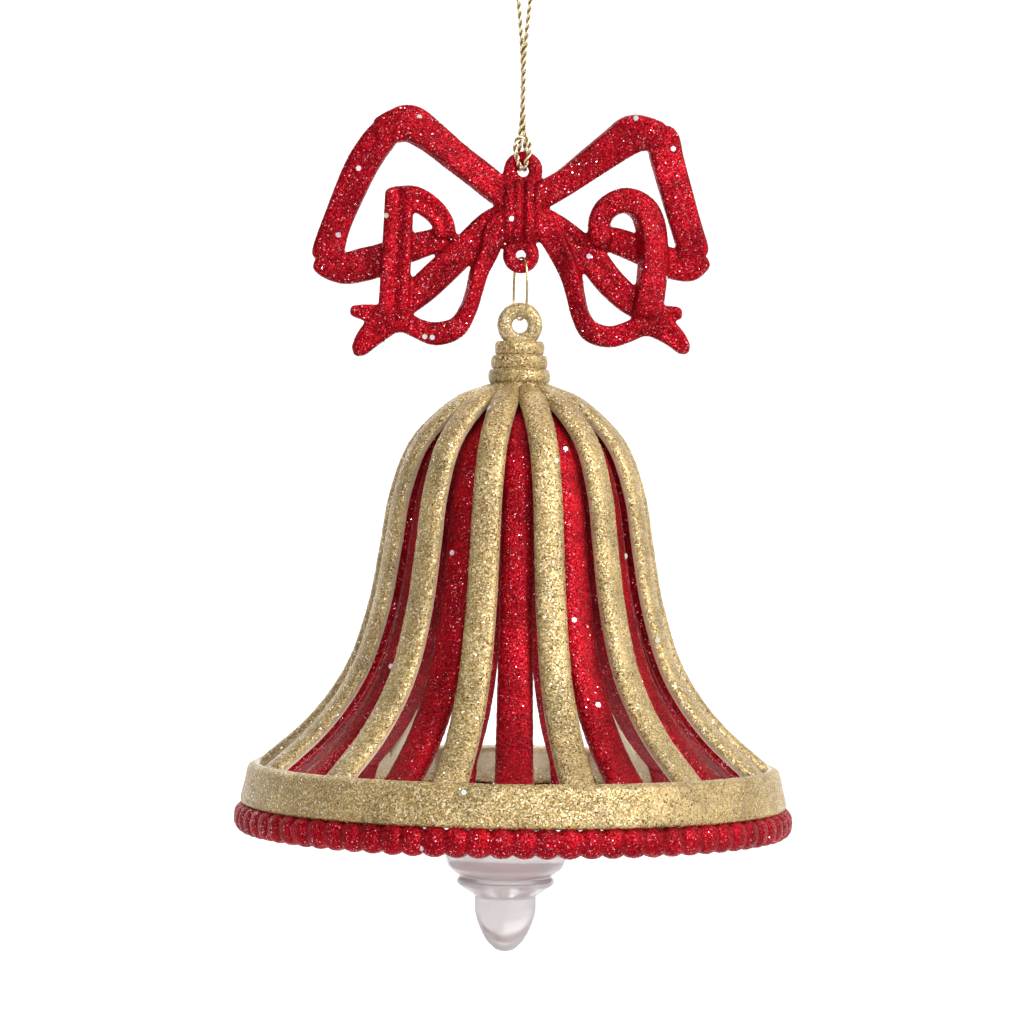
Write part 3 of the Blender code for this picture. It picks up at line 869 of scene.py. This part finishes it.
@dataclass(frozen=True)
class Band:
    """One ribbon band of the bow.

    A route point is x, z above the lower eyelet, the half width, and the tilt in degrees if any.
    """

    depth: float
    route: tuple
    half_thickness: float = 1.1
    groove: float = 0.0
    corner: float = 5.5
    end_length: float = 0.6
    end_power: float = 2.6
    groove_width: float = 0.3

    def grid(self) -> np.ndarray:
        """A superellipse section carried along the route, tilted about it.

        Across is half width * cos and through is half thickness * sin, both squared off. The
        groove takes a bell curve out of the front and back middle, and both ends are rounded.

        Returns:
            The band's grid.
        """
        points = np.array([(*point, 0.0)[:4] for point in self.route])
        line = smooth_curve(points, max(24, int(run_length(points[:, :2])[-1] / 0.35)))
        tangent = unit(np.gradient(line[:, :2], axis=0))
        across = np.column_stack([-tangent[:, 1], np.zeros(len(line)), tangent[:, 0]])
        angle = full_turn(40)[None, :]
        u = squared(np.cos(angle), self.corner)
        run = run_length(line[:, :2])
        near = np.minimum(run, run[-1] - run)[:, None] + 0.02
        close = np.clip(near / (line[:, 2:3] * self.end_length), 0, 1)
        close = (1 - (1 - close) ** self.end_power) ** (1 / self.end_power)
        v = squared(np.sin(angle), self.corner) * self.half_thickness * close
        v = v * (1 - self.groove * np.exp(-(u / self.groove_width) ** 2))
        u = u * line[:, 2:3] * close
        tilt = np.radians(line[:, 3:4])
        side = u * np.cos(tilt) - v * np.sin(tilt)
        through = u * np.sin(tilt) + v * np.cos(tilt)
        middle = np.column_stack([line[:, 0], np.full(len(line), self.depth),
                                  line[:, 1] + LOWER_EYELET_Z])
        return (middle[:, None] + side[:, :, None] * across[:, None]
                + through[:, :, None] * np.array([0.0, 1.0, 0.0]))


@dataclass
class Bow:
    """The red bow: bands, folds and swallow tails fused into one moulding."""

    voxel: float = 0.23
    grain_height: float = 0.032
    eyelets: tuple = ((0.15, UPPER_EYELET_Z, 2.95, 0.86), (0.0, LOWER_EYELET_Z, 2.75, 0.72))
    pleats: tuple = ((-1.95, 1.0, 8.4), (-0.55, 0.95, 9.6), (1.0, 0.95, 9.6), (2.45, 1.0, 8.2))
    pleat_depth: float = 1.85
    bands: tuple = (
        Band(-0.15, ((-1.0, 7.8, 1.8), (-3.6, 9.7, 2.15, -12), (-6.4, 11.9, 2.25, -22),
                     (-10.0, 14.6, 2.3, -26), (-13.5, 17.4, 2.5, -24), (-16.7, 19.4, 2.8, -12),
                     (-19.0, 19.1, 2.55, -4), (-22.2, 17.9, 1.9))),
        Band(0.35, ((-19.4, 19.4, 1.7), (-20.9, 17.8, 2.3, -8), (-22.7, 15.4, 2.4, -10),
                     (-24.6, 12.0, 2.4, -8), (-27.5, 5.0, 2.2), (-28.8, 0.8, 2.35),
                     (-29.3, -1.5, 2.3))),
        Band(0.75, ((-30.6, -0.6, 1.6), (-29.0, -1.7, 2.1), (-26.4, -2.3, 2.35), (-23.6, -1.7, 2.5),
                     (-20.9, -0.9, 2.4), (-18.0, 0.4, 2.2), (-16.3, 1.0, 2.1), (-12.8, 2.1, 1.8),
                     (-11.0, 3.0, 1.7))),
        Band(-0.8, ((-18.35, 10.0, 2.1), (-18.35, 8.1, 2.15), (-18.5, 3.0, 2.2),
                     (-18.7, -2.0, 2.25), (-19.0, -9.8, 2.3)), groove=0.5),
        Band(-0.25, ((-19.6, 8.0, 1.8), (-18.0, 8.2, 1.9), (-15.8, 8.1, 1.9), (-13.2, 6.5, 1.75),
                     (-11.7, 4.4, 1.65), (-11.3, 2.2, 1.6)), groove=0.25),
        Band(0.15, ((-1.0, 6.2, 1.8), (-4.4, 4.7, 2.1), (-8.2, 1.0, 2.2), (-14.2, -4.8, 2.25),
                     (-18.2, -8.2, 1.9)), groove=0.15),
        Band(-0.35, ((-1.0, 5.9, 1.6), (-3.4, 4.2, 1.8), (-5.0, 0.2, 1.5, 20),
                     (-6.2, -2.5, 1.3, 28), (-6.95, -5.6, 1.15, 24), (-7.9, -8.5, 1.3, 12),
                     (-9.6, -11.1, 1.6), (-12.6, -12.0, 1.75), (-15.2, -11.3, 1.5),
                     (-17.4, -10.3, 1.6), (-19.8, -10.3, 2.1), (-22.0, -12.0, 1.95),
                     (-23.6, -13.9, 1.5), (-24.6, -15.4, 0.8))),
        Band(-0.35, ((-18.6, -9.8, 1.9), (-21.3, -9.3, 1.55), (-23.6, -8.9, 1.15),
                     (-25.5, -8.7, 0.7))),
        Band(-0.15, ((1.0, 7.8, 1.8), (3.8, 9.4, 2.05, -6), (6.7, 11.2, 2.05, -12),
                     (10.0, 13.7, 2.3, -16), (14.0, 16.7, 2.65, -18), (16.4, 18.3, 2.9, -14),
                     (18.8, 18.4, 2.5, -8), (21.4, 17.8, 2.0))),
        Band(0.35, ((20.2, 19.3, 1.6), (21.1, 17.5, 2.45, 8), (21.6, 15.2, 2.5, 10),
                     (22.5, 12.0, 2.45, 8), (24.6, 5.0, 2.35), (25.7, 1.6, 2.35),
                     (26.1, -0.3, 2.25))),
        Band(0.75, ((27.8, 0.2, 1.3), (26.7, -0.8, 1.75), (25.3, -1.4, 2.15), (23.1, -1.0, 2.3),
                     (20.4, -0.1, 2.2), (17.5, 1.2, 2.1), (14.5, 2.3, 2.0), (12.0, 2.9, 1.7))),
        Band(-0.6, ((12.6, 1.2, 1.5), (11.7, 3.2, 1.6), (11.7, 5.2, 1.7), (12.8, 7.2, 1.75),
                     (15.3, 8.35, 1.85), (17.8, 7.4, 2.0, 12), (19.2, 5.0, 2.15, 24),
                     (19.8, 0.7, 2.15, 28), (19.6, -3.7, 2.15, 20), (19.0, -9.4, 2.2)),
                     half_thickness=1.5),
        Band(0.15, ((1.0, 6.2, 1.8), (4.4, 4.5, 2.1), (7.6, 2.2, 2.2), (10.6, -0.4, 2.25),
                     (13.2, -3.6, 2.2), (16.1, -6.3, 2.1), (19.2, -8.3, 1.8)), groove=0.15),
        Band(-0.35, ((1.0, 5.9, 1.6), (3.6, 4.1, 1.9), (5.9, 0.6, 1.75, -20),
                     (7.5, -2.8, 1.55, -28), (8.2, -5.6, 1.3, -24), (9.1, -9.0, 1.35, -10),
                     (10.6, -11.3, 1.6), (13.4, -12.1, 1.6), (16.0, -11.4, 1.55),
                     (18.2, -10.4, 1.6), (20.4, -10.2, 2.0), (22.4, -11.4, 1.75),
                     (23.9, -12.8, 1.4), (25.1, -14.4, 0.9))),
        Band(-0.35, ((19.6, -9.3, 1.9), (22.2, -8.6, 1.3), (24.3, -8.4, 0.8))),
    )

    def pleat(self, x: float, half_width: float, height: float) -> np.ndarray:
        """One upright pleat of the pinched middle: a sausage with round ends.

        At height s from -1 to 1 the section is scaled by the fourth root of (1 - s to the fourth).

        Args:
            x: The pleat's middle.
            half_width: Half its width.
            height: Its height.

        Returns:
            The pleat's grid.
        """
        s = np.sin(np.linspace(-0.5, 0.5, 44) * math.pi)[:, None]
        angle = full_turn(32)[None, :]
        full = (1 - 0.995 * s ** 4) ** 0.25
        z = (UPPER_EYELET_Z + LOWER_EYELET_Z) / 2 + 0.1 + s * height / 2
        return np.stack([x + half_width * squared(np.cos(angle), 2.3) * full,
                         self.pleat_depth * squared(np.sin(angle), 2.1) * full,
                         z + 0 * angle], -1)

    def strip(self) -> np.ndarray:
        """The flat strip behind the gathers that carries both eyelets.

        Returns:
            The strip's grid: an upright superellipse prism.
        """
        low, high = LOWER_EYELET_Z + 1.9, UPPER_EYELET_Z - 2.1
        z = np.linspace(low, high, 30)[:, None]
        angle = full_turn(40)[None, :]
        x = 2.8 * squared(np.cos(angle), 3.0) + 0 * z
        y = 0.95 * squared(np.sin(angle), 3.0) + 0 * z
        return np.stack([x, y, z + 0 * angle], -1)

    def build(self, finishes: Finishes) -> bpy.types.Object:
        """Fuse the bands, pleats and eyelets into one moulding and roughen its coat.

        Args:
            finishes: The materials.

        Returns:
            The bow.
        """
        skin = Skin()
        for band in self.bands:
            skin.add(band.grid())
        for eyelet in self.eyelets:
            skin.add(ring_grid(*eyelet, depth=0.8, power=2.5), ring=True)
        for pleat in self.pleats:
            skin.add(self.pleat(*pleat))
        skin.add(self.strip())
        raw = skin.build("bow_bands")
        fuse = raw.modifiers.new("fuse", "REMESH")
        fuse.mode = "VOXEL"
        fuse.voxel_size = self.voxel * MM
        soften = raw.modifiers.new("soften", "SMOOTH")
        soften.factor = 0.5
        soften.iterations = 2
        bow = fused_copy(raw, "glitter_bow")
        roughen(bow, self.grain_height, 11)
        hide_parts("bow")
        settle(bow, Body.BOW, finishes.red)
        return bow


def fused_copy(raw: bpy.types.Object, name: str) -> bpy.types.Object:
    """Apply an object's modifiers into a new object, coated all over, and remove the first one.

    Args:
        raw: The object with the modifiers.
        name: Name of the new one.

    Returns:
        The new object.
    """
    graph = bpy.context.evaluated_depsgraph_get()
    mesh = bpy.data.meshes.new_from_object(raw.evaluated_get(graph))
    mesh.name = name
    mesh.shade_smooth()
    made = add_object(name, mesh)
    bpy.data.objects.remove(raw)
    old = mesh.attributes.get("coat")
    if old:
        mesh.attributes.remove(old)
    mark_coat(mesh, np.ones(len(mesh.vertices)))
    return made


# ---------------------------------------------------------------- wire link


@dataclass
class WireLink:
    """The oval wire link between the bow's lower eyelet and the bell's ring."""

    wire_radius: float = 0.19
    half_width: float = 2.35
    top: float = LOWER_EYELET_Z - 0.38
    bottom: float = BELL_RING_Z + 0.8
    turn: float = math.radians(25)
    power: float = 2.6

    def build(self, finishes: Finishes) -> None:
        """Bend the wire round a superellipse; its two cut ends meet.

        Args:
            finishes: The materials.
        """
        half_height = (self.top - self.bottom) / 2
        angle = full_turn(260)
        across = self.half_width * squared(np.cos(angle), self.power)
        height = half_height * squared(np.sin(angle), self.power)
        path = np.column_stack([across * math.sin(self.turn), -across * math.cos(self.turn),
                                (self.top + self.bottom) / 2 + height])
        slope = unit(np.roll(path, -1, 0) - np.roll(path, 1, 0))
        flat = np.array([math.cos(self.turn), math.sin(self.turn), 0.0])
        side = np.cross(slope, flat)
        turn = full_turn(16)[None, :, None]
        skin = Skin()
        skin.add(path[:, None] + self.wire_radius * (np.cos(turn) * flat
                                                     + np.sin(turn) * side[:, None]), ring=True)
        link = skin.build("oval_wire_link")
        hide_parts("wire_link")
        settle(link, Body.LINK, finishes.wire)


# ---------------------------------------------------------------- bell


@dataclass
class Cage:
    """What both nested mouldings share: the bell's outline and how a rib follows it."""

    outline: tuple = ((4.3, 8.7), (10.1, 11.2), (16.2, 17.2), (19.3, 25.0), (20.7, 33.0),
                      (22.4, 42.0), (25.6, 51.3), (31.1, 59.1), (39.1, 66.2))
    rib_columns: int = 24
    rib_step: float = 0.42
    swell: float = 1.25
    depth: float = 0.85
    spread: float = 1.6
    coat_edge: float = -0.2
    coat_least: float = 0.0

    def wall(self, inward: float) -> np.ndarray:
        """The outline moved inwards along its normals.

        Args:
            inward: The distance in millimetres.

        Returns:
            Rows of radius and depth, top to bottom.
        """
        line = smooth_curve(self.outline, 160)
        tangent = unit(np.gradient(line, axis=0))
        return line + np.column_stack([-tangent[:, 1], tangent[:, 0]]) * inward

    def rib(self, line: np.ndarray, angle: float,
            widths: tuple[float, float]) -> tuple[np.ndarray, np.ndarray]:
        """One rib: a rounded section carried down a wall line in the plane at an angle.

        Across is half width * cos. Out is the swell * sin on the round outer side and the depth *
        sin on the flatter inner side. Near the crown the half width is what its share of the turn
        allows.

        Args:
            line: Radius and depth of the rib's outer face, top to bottom.
            angle: Where the rib stands round the bell.
            widths: Its width at the top and at the bottom.

        Returns:
            The rib's grid and its coat values, which fade out towards the inner face.
        """
        count = int(run_length(line)[-1] / self.rib_step)
        path = smooth_curve(line, count)
        tangent = unit(np.gradient(path, axis=0))
        outward = np.column_stack([tangent[:, 1], -tangent[:, 0]])
        share = np.linspace(0, 1, count) ** self.spread
        half = (widths[0] * (1 - share) + widths[1] * share) / 2
        half = np.minimum(half, path[:, 0] * math.tan(PITCH / 2) + 0.05)
        turn = full_turn(self.rib_columns)
        outside = np.sin(turn) > 0
        across = squared(np.cos(turn), 2.5)[None, :] * half[:, None]
        out = np.where(outside, self.swell * squared(np.sin(turn), 2.1),
                       self.depth * squared(np.sin(turn), 4.5))[None, :] - self.swell
        radius = path[:, :1] + outward[:, :1] * out
        depth = path[:, 1:] + outward[:, 1:] * out
        x = radius * math.cos(angle) - across * math.sin(angle)
        y = radius * math.sin(angle) + across * math.cos(angle)
        coat = np.clip((np.sin(turn) - self.coat_edge) / 0.3, self.coat_least, 1)[None, :]
        coat = coat + 0 * half[:, None]
        return np.stack([x, y, BELL_RING_Z - depth], -1), coat

    def hoop(self, section: tuple, columns: int) -> np.ndarray:
        """A closed section of radius and depth turned about the bell's axis."""
        ring = smooth_curve(tuple(section) + tuple(section[:1]), len(section) * 5)[:-1]
        return turned_grid(ring, columns) + (0.0, 0.0, BELL_RING_Z)


@dataclass
class OuterBell(Cage):
    """The gold moulding: ring, stepped neck, ribs and belt."""

    widths: tuple[float, float] = (4.2, 5.0)
    ring_radius: float = 3.4
    ring_hole: float = 1.15
    ring_coat: float = 0.85
    grain_height: float = 0.042
    neck_round: float = 0.38
    neck_steps: tuple = ((3.75, 2.5, 4.5), (4.25, 4.6, 6.6), (4.65, 6.7, 8.7))
    belt: tuple = ((38.7, 65.7), (39.7, 66.4), (40.2, 68.6), (40.75, 71.0), (40.5, 71.8),
                   (39.4, 71.9), (38.8, 71.2), (38.2, 68.6), (37.6, 66.8), (37.9, 66.0))

    def neck(self) -> np.ndarray:
        """The neck as one turned surface: each step is a band with round corners.

        Returns:
            The neck's grid.
        """
        profile = [np.array([[0.05, self.neck_steps[0][1] - 0.05]])]
        turn = np.linspace(math.pi / 2, -math.pi / 2, 9)
        for radius, top, foot in self.neck_steps:
            corner = (foot - top) / 2
            profile.append(np.column_stack([
                radius - self.neck_round + self.neck_round * squared(np.cos(turn), 2.0),
                (top + foot) / 2 - corner * squared(np.sin(turn), 2.0)]))
        profile.append(np.array([[4.6, 9.2], [4.9, 10.4], [3.0, 10.6], [0.05, 10.6]]))
        return turned_grid(np.vstack(profile), 72) + (0.0, 0.0, BELL_RING_Z)

    def build(self, finishes: Finishes) -> list[bpy.types.Object]:
        """Make the ribs, the neck with its ring, and the belt.

        Args:
            finishes: The materials.

        Returns:
            The three pieces.
        """
        line = np.vstack([self.wall(0.0), [[39.3, 67.2]]])
        ribs = Skin()
        for index in range(RIBS):
            ribs.add(*self.rib(line, FRONT + (index + 0.5) * PITCH, self.widths))
        ply_light_and_shade = Skin()
        ply_light_and_shade.add(self.neck())
        ply_light_and_shade.add(ring_grid(0.0, BELL_RING_Z, self.ring_radius, self.ring_hole, depth=1.0,
                            power=2.4), coat=self.ring_coat, ring=True)
        belt = Skin()
        section = self.hoop(self.belt, 620)
        # The belt's inner face, at radii up to 38 mm, has the thinnest coat.
        inner = np.hypot(section[..., 0], section[..., 1]) - 38.0
        belt.add(section.transpose(1, 0, 2), coat=np.clip(inner.T / 0.9, 0.3, 1), ring=True)
        pieces = [ribs.build("gold_ribs"), ply_light_and_shade.build("gold_neck"), belt.build("gold_belt")]
        for seed, piece in enumerate(pieces):
            roughen(piece, self.grain_height, 20 + seed)
            settle(piece, Body.BELL, finishes.gold)
        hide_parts("outer_bell")
        return pieces


@dataclass
class InnerBell(Cage):
    """The red moulding: ribs in the gold openings, the beaded rim, the crown and its lug."""

    recess: float = 2.2
    spread: float = 1.15
    depth: float = 1.1
    widths: tuple[float, float] = (4.3, 5.7)
    coat_edge: float = -1.2
    coat_least: float = 0.4
    beads: int = 80
    rim_radius: float = 39.95
    rim_depth: float = 73.85
    bead_radius: float = 1.82
    bead_height: float = 1.18
    grain_height: float = 0.038
    slot_radius: float = 1.22
    slot_depth: float = 15.7

    def rim(self) -> np.ndarray:
        """The rim: a round section carried round the bell and pinched between beads.

        With p from -1 to 1 across one bead, the section's radius is the bead radius times a root
        of (1 - pinch * p squared), and its height is a little more. The pinch grows to the foot.

        Returns:
            The rim's grid.
        """
        per_bead = 12
        turn = full_turn(self.beads * per_bead)[:, None]
        p = (turn / (2 * math.pi) * self.beads) % 1.0 * 2 - 1
        angle = full_turn(24)[None, :]
        pinch = 0.41 - 0.05 * np.sin(angle)
        swell = self.bead_radius * np.sqrt(1 - pinch * p ** 2)
        radius = self.rim_radius + swell * squared(np.cos(angle), 2.3)
        depth = self.rim_depth - self.bead_height * swell * squared(np.sin(angle), 2.3)
        return np.stack([radius * np.cos(turn + FRONT), radius * np.sin(turn + FRONT),
                         BELL_RING_Z - depth], -1)

    def lug(self) -> list[np.ndarray]:
        """The crown's disc and the slotted lug below it, whose slot is a long oval ring.

        Returns:
            The grids of the disc, of the oval ring and of the stem between them.
        """
        disc = np.array([(0.05, 11.0), (4.6, 11.05), (7.4, 12.0), (8.0, 13.0), (7.0, 13.4),
                         (4.0, 13.1), (0.05, 13.1)])
        turn = full_turn(64)[:, None]
        angle = full_turn(20)[None, :]
        band = 0.42 * squared(np.cos(angle), 2.6)
        level = np.abs(np.cos(turn)) > 1e-6
        x = 0.8 * np.sign(np.cos(turn)) * level + (self.slot_radius + band) * np.cos(turn)
        z = BELL_RING_Z - self.slot_depth + (self.slot_radius + band) * np.sin(turn)
        y = 0.8 * squared(np.sin(angle), 2.6) + 0 * turn
        stem = smooth_curve(((0.0, 0.0, BELL_RING_Z - 12.6), (0.0, 0.0, BELL_RING_Z - 14.7)), 8)
        return [turned_grid(smooth_curve(disc, 40), 96) + (0.0, 0.0, BELL_RING_Z),
                np.stack([x, y, z], -1), tube_grid(stem, 0.95, 24)]

    def build(self, finishes: Finishes) -> list[bpy.types.Object]:
        """Make the ribs, the beaded rim and the crown.

        Args:
            finishes: The materials.

        Returns:
            The three pieces.
        """
        wall = self.wall(self.recess)
        line = np.vstack([wall[(wall[:, 1] > 11.4) & (wall[:, 1] < 67.0)],
                          [[38.15, 70.4], [38.7, 72.2], [39.1, 73.2]]])
        ribs = Skin()
        for index in range(RIBS):
            ribs.add(*self.rib(line, FRONT + index * PITCH, self.widths))
        rim = Skin()
        rim.add(self.rim(), ring=True)
        ply_light_and_shade = Skin()
        disc, lug, stem = self.lug()
        ply_light_and_shade.add(disc)
        ply_light_and_shade.add(lug, ring=True)
        ply_light_and_shade.add(stem)
        pieces = [ribs.build("red_ribs"), rim.build("beaded_rim"), ply_light_and_shade.build("red_crown")]
        for seed, piece in enumerate(pieces):
            roughen(piece, self.grain_height, 30 + seed)
            settle(piece, Body.BELL, finishes.red)
        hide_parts("inner_bell")
        return pieces


# ---------------------------------------------------------------- clapper


@dataclass
class Clapper:
    """The clear drop and the eye pin that carries it."""

    x: float = -1.0
    eye_radius: float = 1.35
    wire_radius: float = 0.25
    lug_depth: float = 15.7
    drop_top: float = 69.6
    set_in: float = 3.2
    outline: tuple = ((0.05, 0.0), (1.3, 0.02), (1.9, 0.5), (2.2, 1.6), (3.6, 3.0), (6.4, 5.2),
                      (8.6, 7.6), (9.2, 9.2), (8.95, 10.6), (8.5, 11.7), (7.6, 12.5), (6.9, 12.95),
                      (7.2, 13.35), (7.35, 13.8), (6.95, 14.4), (5.6, 15.3), (4.75, 15.9),
                      (4.62, 16.6), (4.6, 18.0), (4.3, 19.4), (3.75, 20.9), (2.9, 22.5),
                      (2.1, 23.4), (1.2, 24.1), (0.05, 24.35))

    def pin_path(self) -> np.ndarray:
        """The pin's middle line: an open eye about the lug, then a straight shank.

        Returns:
            Its points, from the eye's open end down.
        """
        centre = BELL_RING_Z - self.lug_depth - self.eye_radius
        turn = np.radians(np.linspace(-50, 255, 40))
        eye = np.column_stack([np.full(40, self.x), self.eye_radius * np.cos(turn),
                               centre + self.eye_radius * np.sin(turn)])
        foot = BELL_RING_Z - self.drop_top - self.set_in
        top = BELL_RING_Z - self.lug_depth - 2 * self.eye_radius
        shank = [(self.x, -0.05, top - 0.5), (self.x, 0.0, top - 1.6), (self.x, 0.0, foot)]
        return smooth_curve(np.vstack([eye, shank]), 420)

    def build(self, finishes: Finishes) -> None:
        """Bend the pin and turn the drop.

        Args:
            finishes: The materials.
        """
        path = self.pin_path()
        pin = Skin()
        pin.add(tube_grid(path, rounded_ends(len(path), self.wire_radius, run_length(path)[1]), 16))
        drop = Skin()
        profile = smooth_curve(self.outline, 150)
        profile[:, 0] = np.maximum(profile[:, 0], 0.03)
        drop.add(turned_grid(profile, 128) + (self.x, 0.0, BELL_RING_Z - self.drop_top))
        wire, clear = pin.build("eye_pin"), drop.build("acrylic_drop")
        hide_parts("clapper_pin")
        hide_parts("clapper_drop")
        settle(wire, Body.CLAPPER, finishes.wire)
        settle(clear, Body.CLAPPER, finishes.clear)


# ---------------------------------------------------------------- large flakes


@dataclass
class Flakes:
    """Large hexagonal flakes strewn over a coat: some placed at listed spots on the front, some
    drawn.
    """

    name: str
    body: Body
    slot: Slot
    spots: tuple
    drawn: int
    seed: int
    radius: float = 0.42
    thickness: float = 0.05
    highest: float = 0.0
    lift: float = 0.03
    throw: float = 90.0

    def flake(self, centre: np.ndarray, normal: np.ndarray, spin: float) -> np.ndarray:
        """A hexagon prism that lies on the surface: two rings of six points.

        Args:
            centre: The point of the coat that it lies on.
            normal: Which way it faces.
            spin: Its angle about that normal.

        Returns:
            The prism's grid.
        """
        side = unit(np.cross(normal, (0.3, 0.2, 0.9)))
        up = np.cross(normal, side)
        angle = full_turn(6)[:, None] + spin
        ring = self.radius * (side * np.cos(angle) + up * np.sin(angle))
        lift = np.array([self.lift, self.lift + self.thickness])[:, None, None] * normal
        return centre + ring[None] + lift

    def build(self, targets: list[bpy.types.Object], finish: bpy.types.Material) -> None:
        """Drop flakes onto the target pieces.

        Args:
            targets: Pieces whose coat holds the flakes.
            finish: The flakes' material.
        """
        bpy.context.view_layer.update()
        draw = np.random.default_rng(self.seed)
        skin = Skin()
        rays = [(np.array([x, -70.0, z]), np.array([0.0, 1.0, 0.0])) for x, z in self.spots]
        for _ in range(self.drawn):
            turn = draw.uniform(0, 2 * math.pi)
            target = targets[draw.integers(len(targets))]
            corners = np.array(target.bound_box) / MM
            low, high = corners.min(axis=0), corners.max(axis=0)
            aim = low + (high - low) * draw.uniform(0, 1, 3)
            way = np.array([math.cos(turn), math.sin(turn), 0.0])
            rays.append((aim - way * self.throw, way))
        for start, way in rays:
            hits = [t.ray_cast(Vector(start * MM), Vector(way)) for t in targets]
            hits = [h for h in hits if h[0]]
            if not hits:
                continue
            nearest = min(hits, key=lambda h: (Vector(start * MM) - h[1]).length)
            place, normal = np.array(nearest[1]) / MM, np.array(nearest[2])
            if place[2] > self.highest:
                continue
            normal = unit(normal - 0.5 * way + draw.uniform(-0.15, 0.15, 3))
            skin.add(self.flake(place, normal, draw.uniform(0, 1.0)))
        piece = skin.build(self.name)
        piece.data.shade_flat()
        settle(piece, self.body, finish)


# ---------------------------------------------------------------- the whole ornament


def main() -> None:
    """Build the camera, the cord, the pieces from the top down, and the stage."""
    logging.basicConfig(level=logging.INFO, format="%(name)s: %(message)s")
    studio = Studio()
    studio.place_camera()
    finishes = Finishes()
    HangingCord().build(finishes)
    bow = Bow().build(finishes)
    WireLink().build(finishes)
    gold = OuterBell().build(finishes)
    red = InnerBell().build(finishes)
    Clapper().build(finishes)
    bow_spots = ((-15.5, -49.8), (-24.5, -57.6), (-27.4, -67.6), (-20.2, -64.7), (-14.2, -82.7),
                 (-13.1, -82.8), (16.9, -49.6), (10.2, -70.3), (22.6, -54.0), (-1.5, -64.9))
    Flakes("bow_flakes", Body.BOW, Slot.RED, bow_spots, 10, 5).build([bow], finishes.pearl)
    bell_spots = ((6.9, -99.4), (15.5, -110.3), (16.0, -115.0), (8.4, -124.2), (20.8, -127.3),
                  (11.9, -136.2), (-9.4, -114.8), (-18.1, -131.5), (-22.9, -160.6),
                  (30.6, -157.2), (5.5, -101.2), (-6.9, -147.6))
    strewn = Flakes("bell_flakes", Body.BELL, Slot.GOLD, bell_spots, 26, 6, highest=BELL_RING_Z - 4)
    strewn.build(gold + red, finishes.pearl)
    studio.light()
    studio.lay_floor(finishes.paper)


if __name__ == "__main__":
    main()
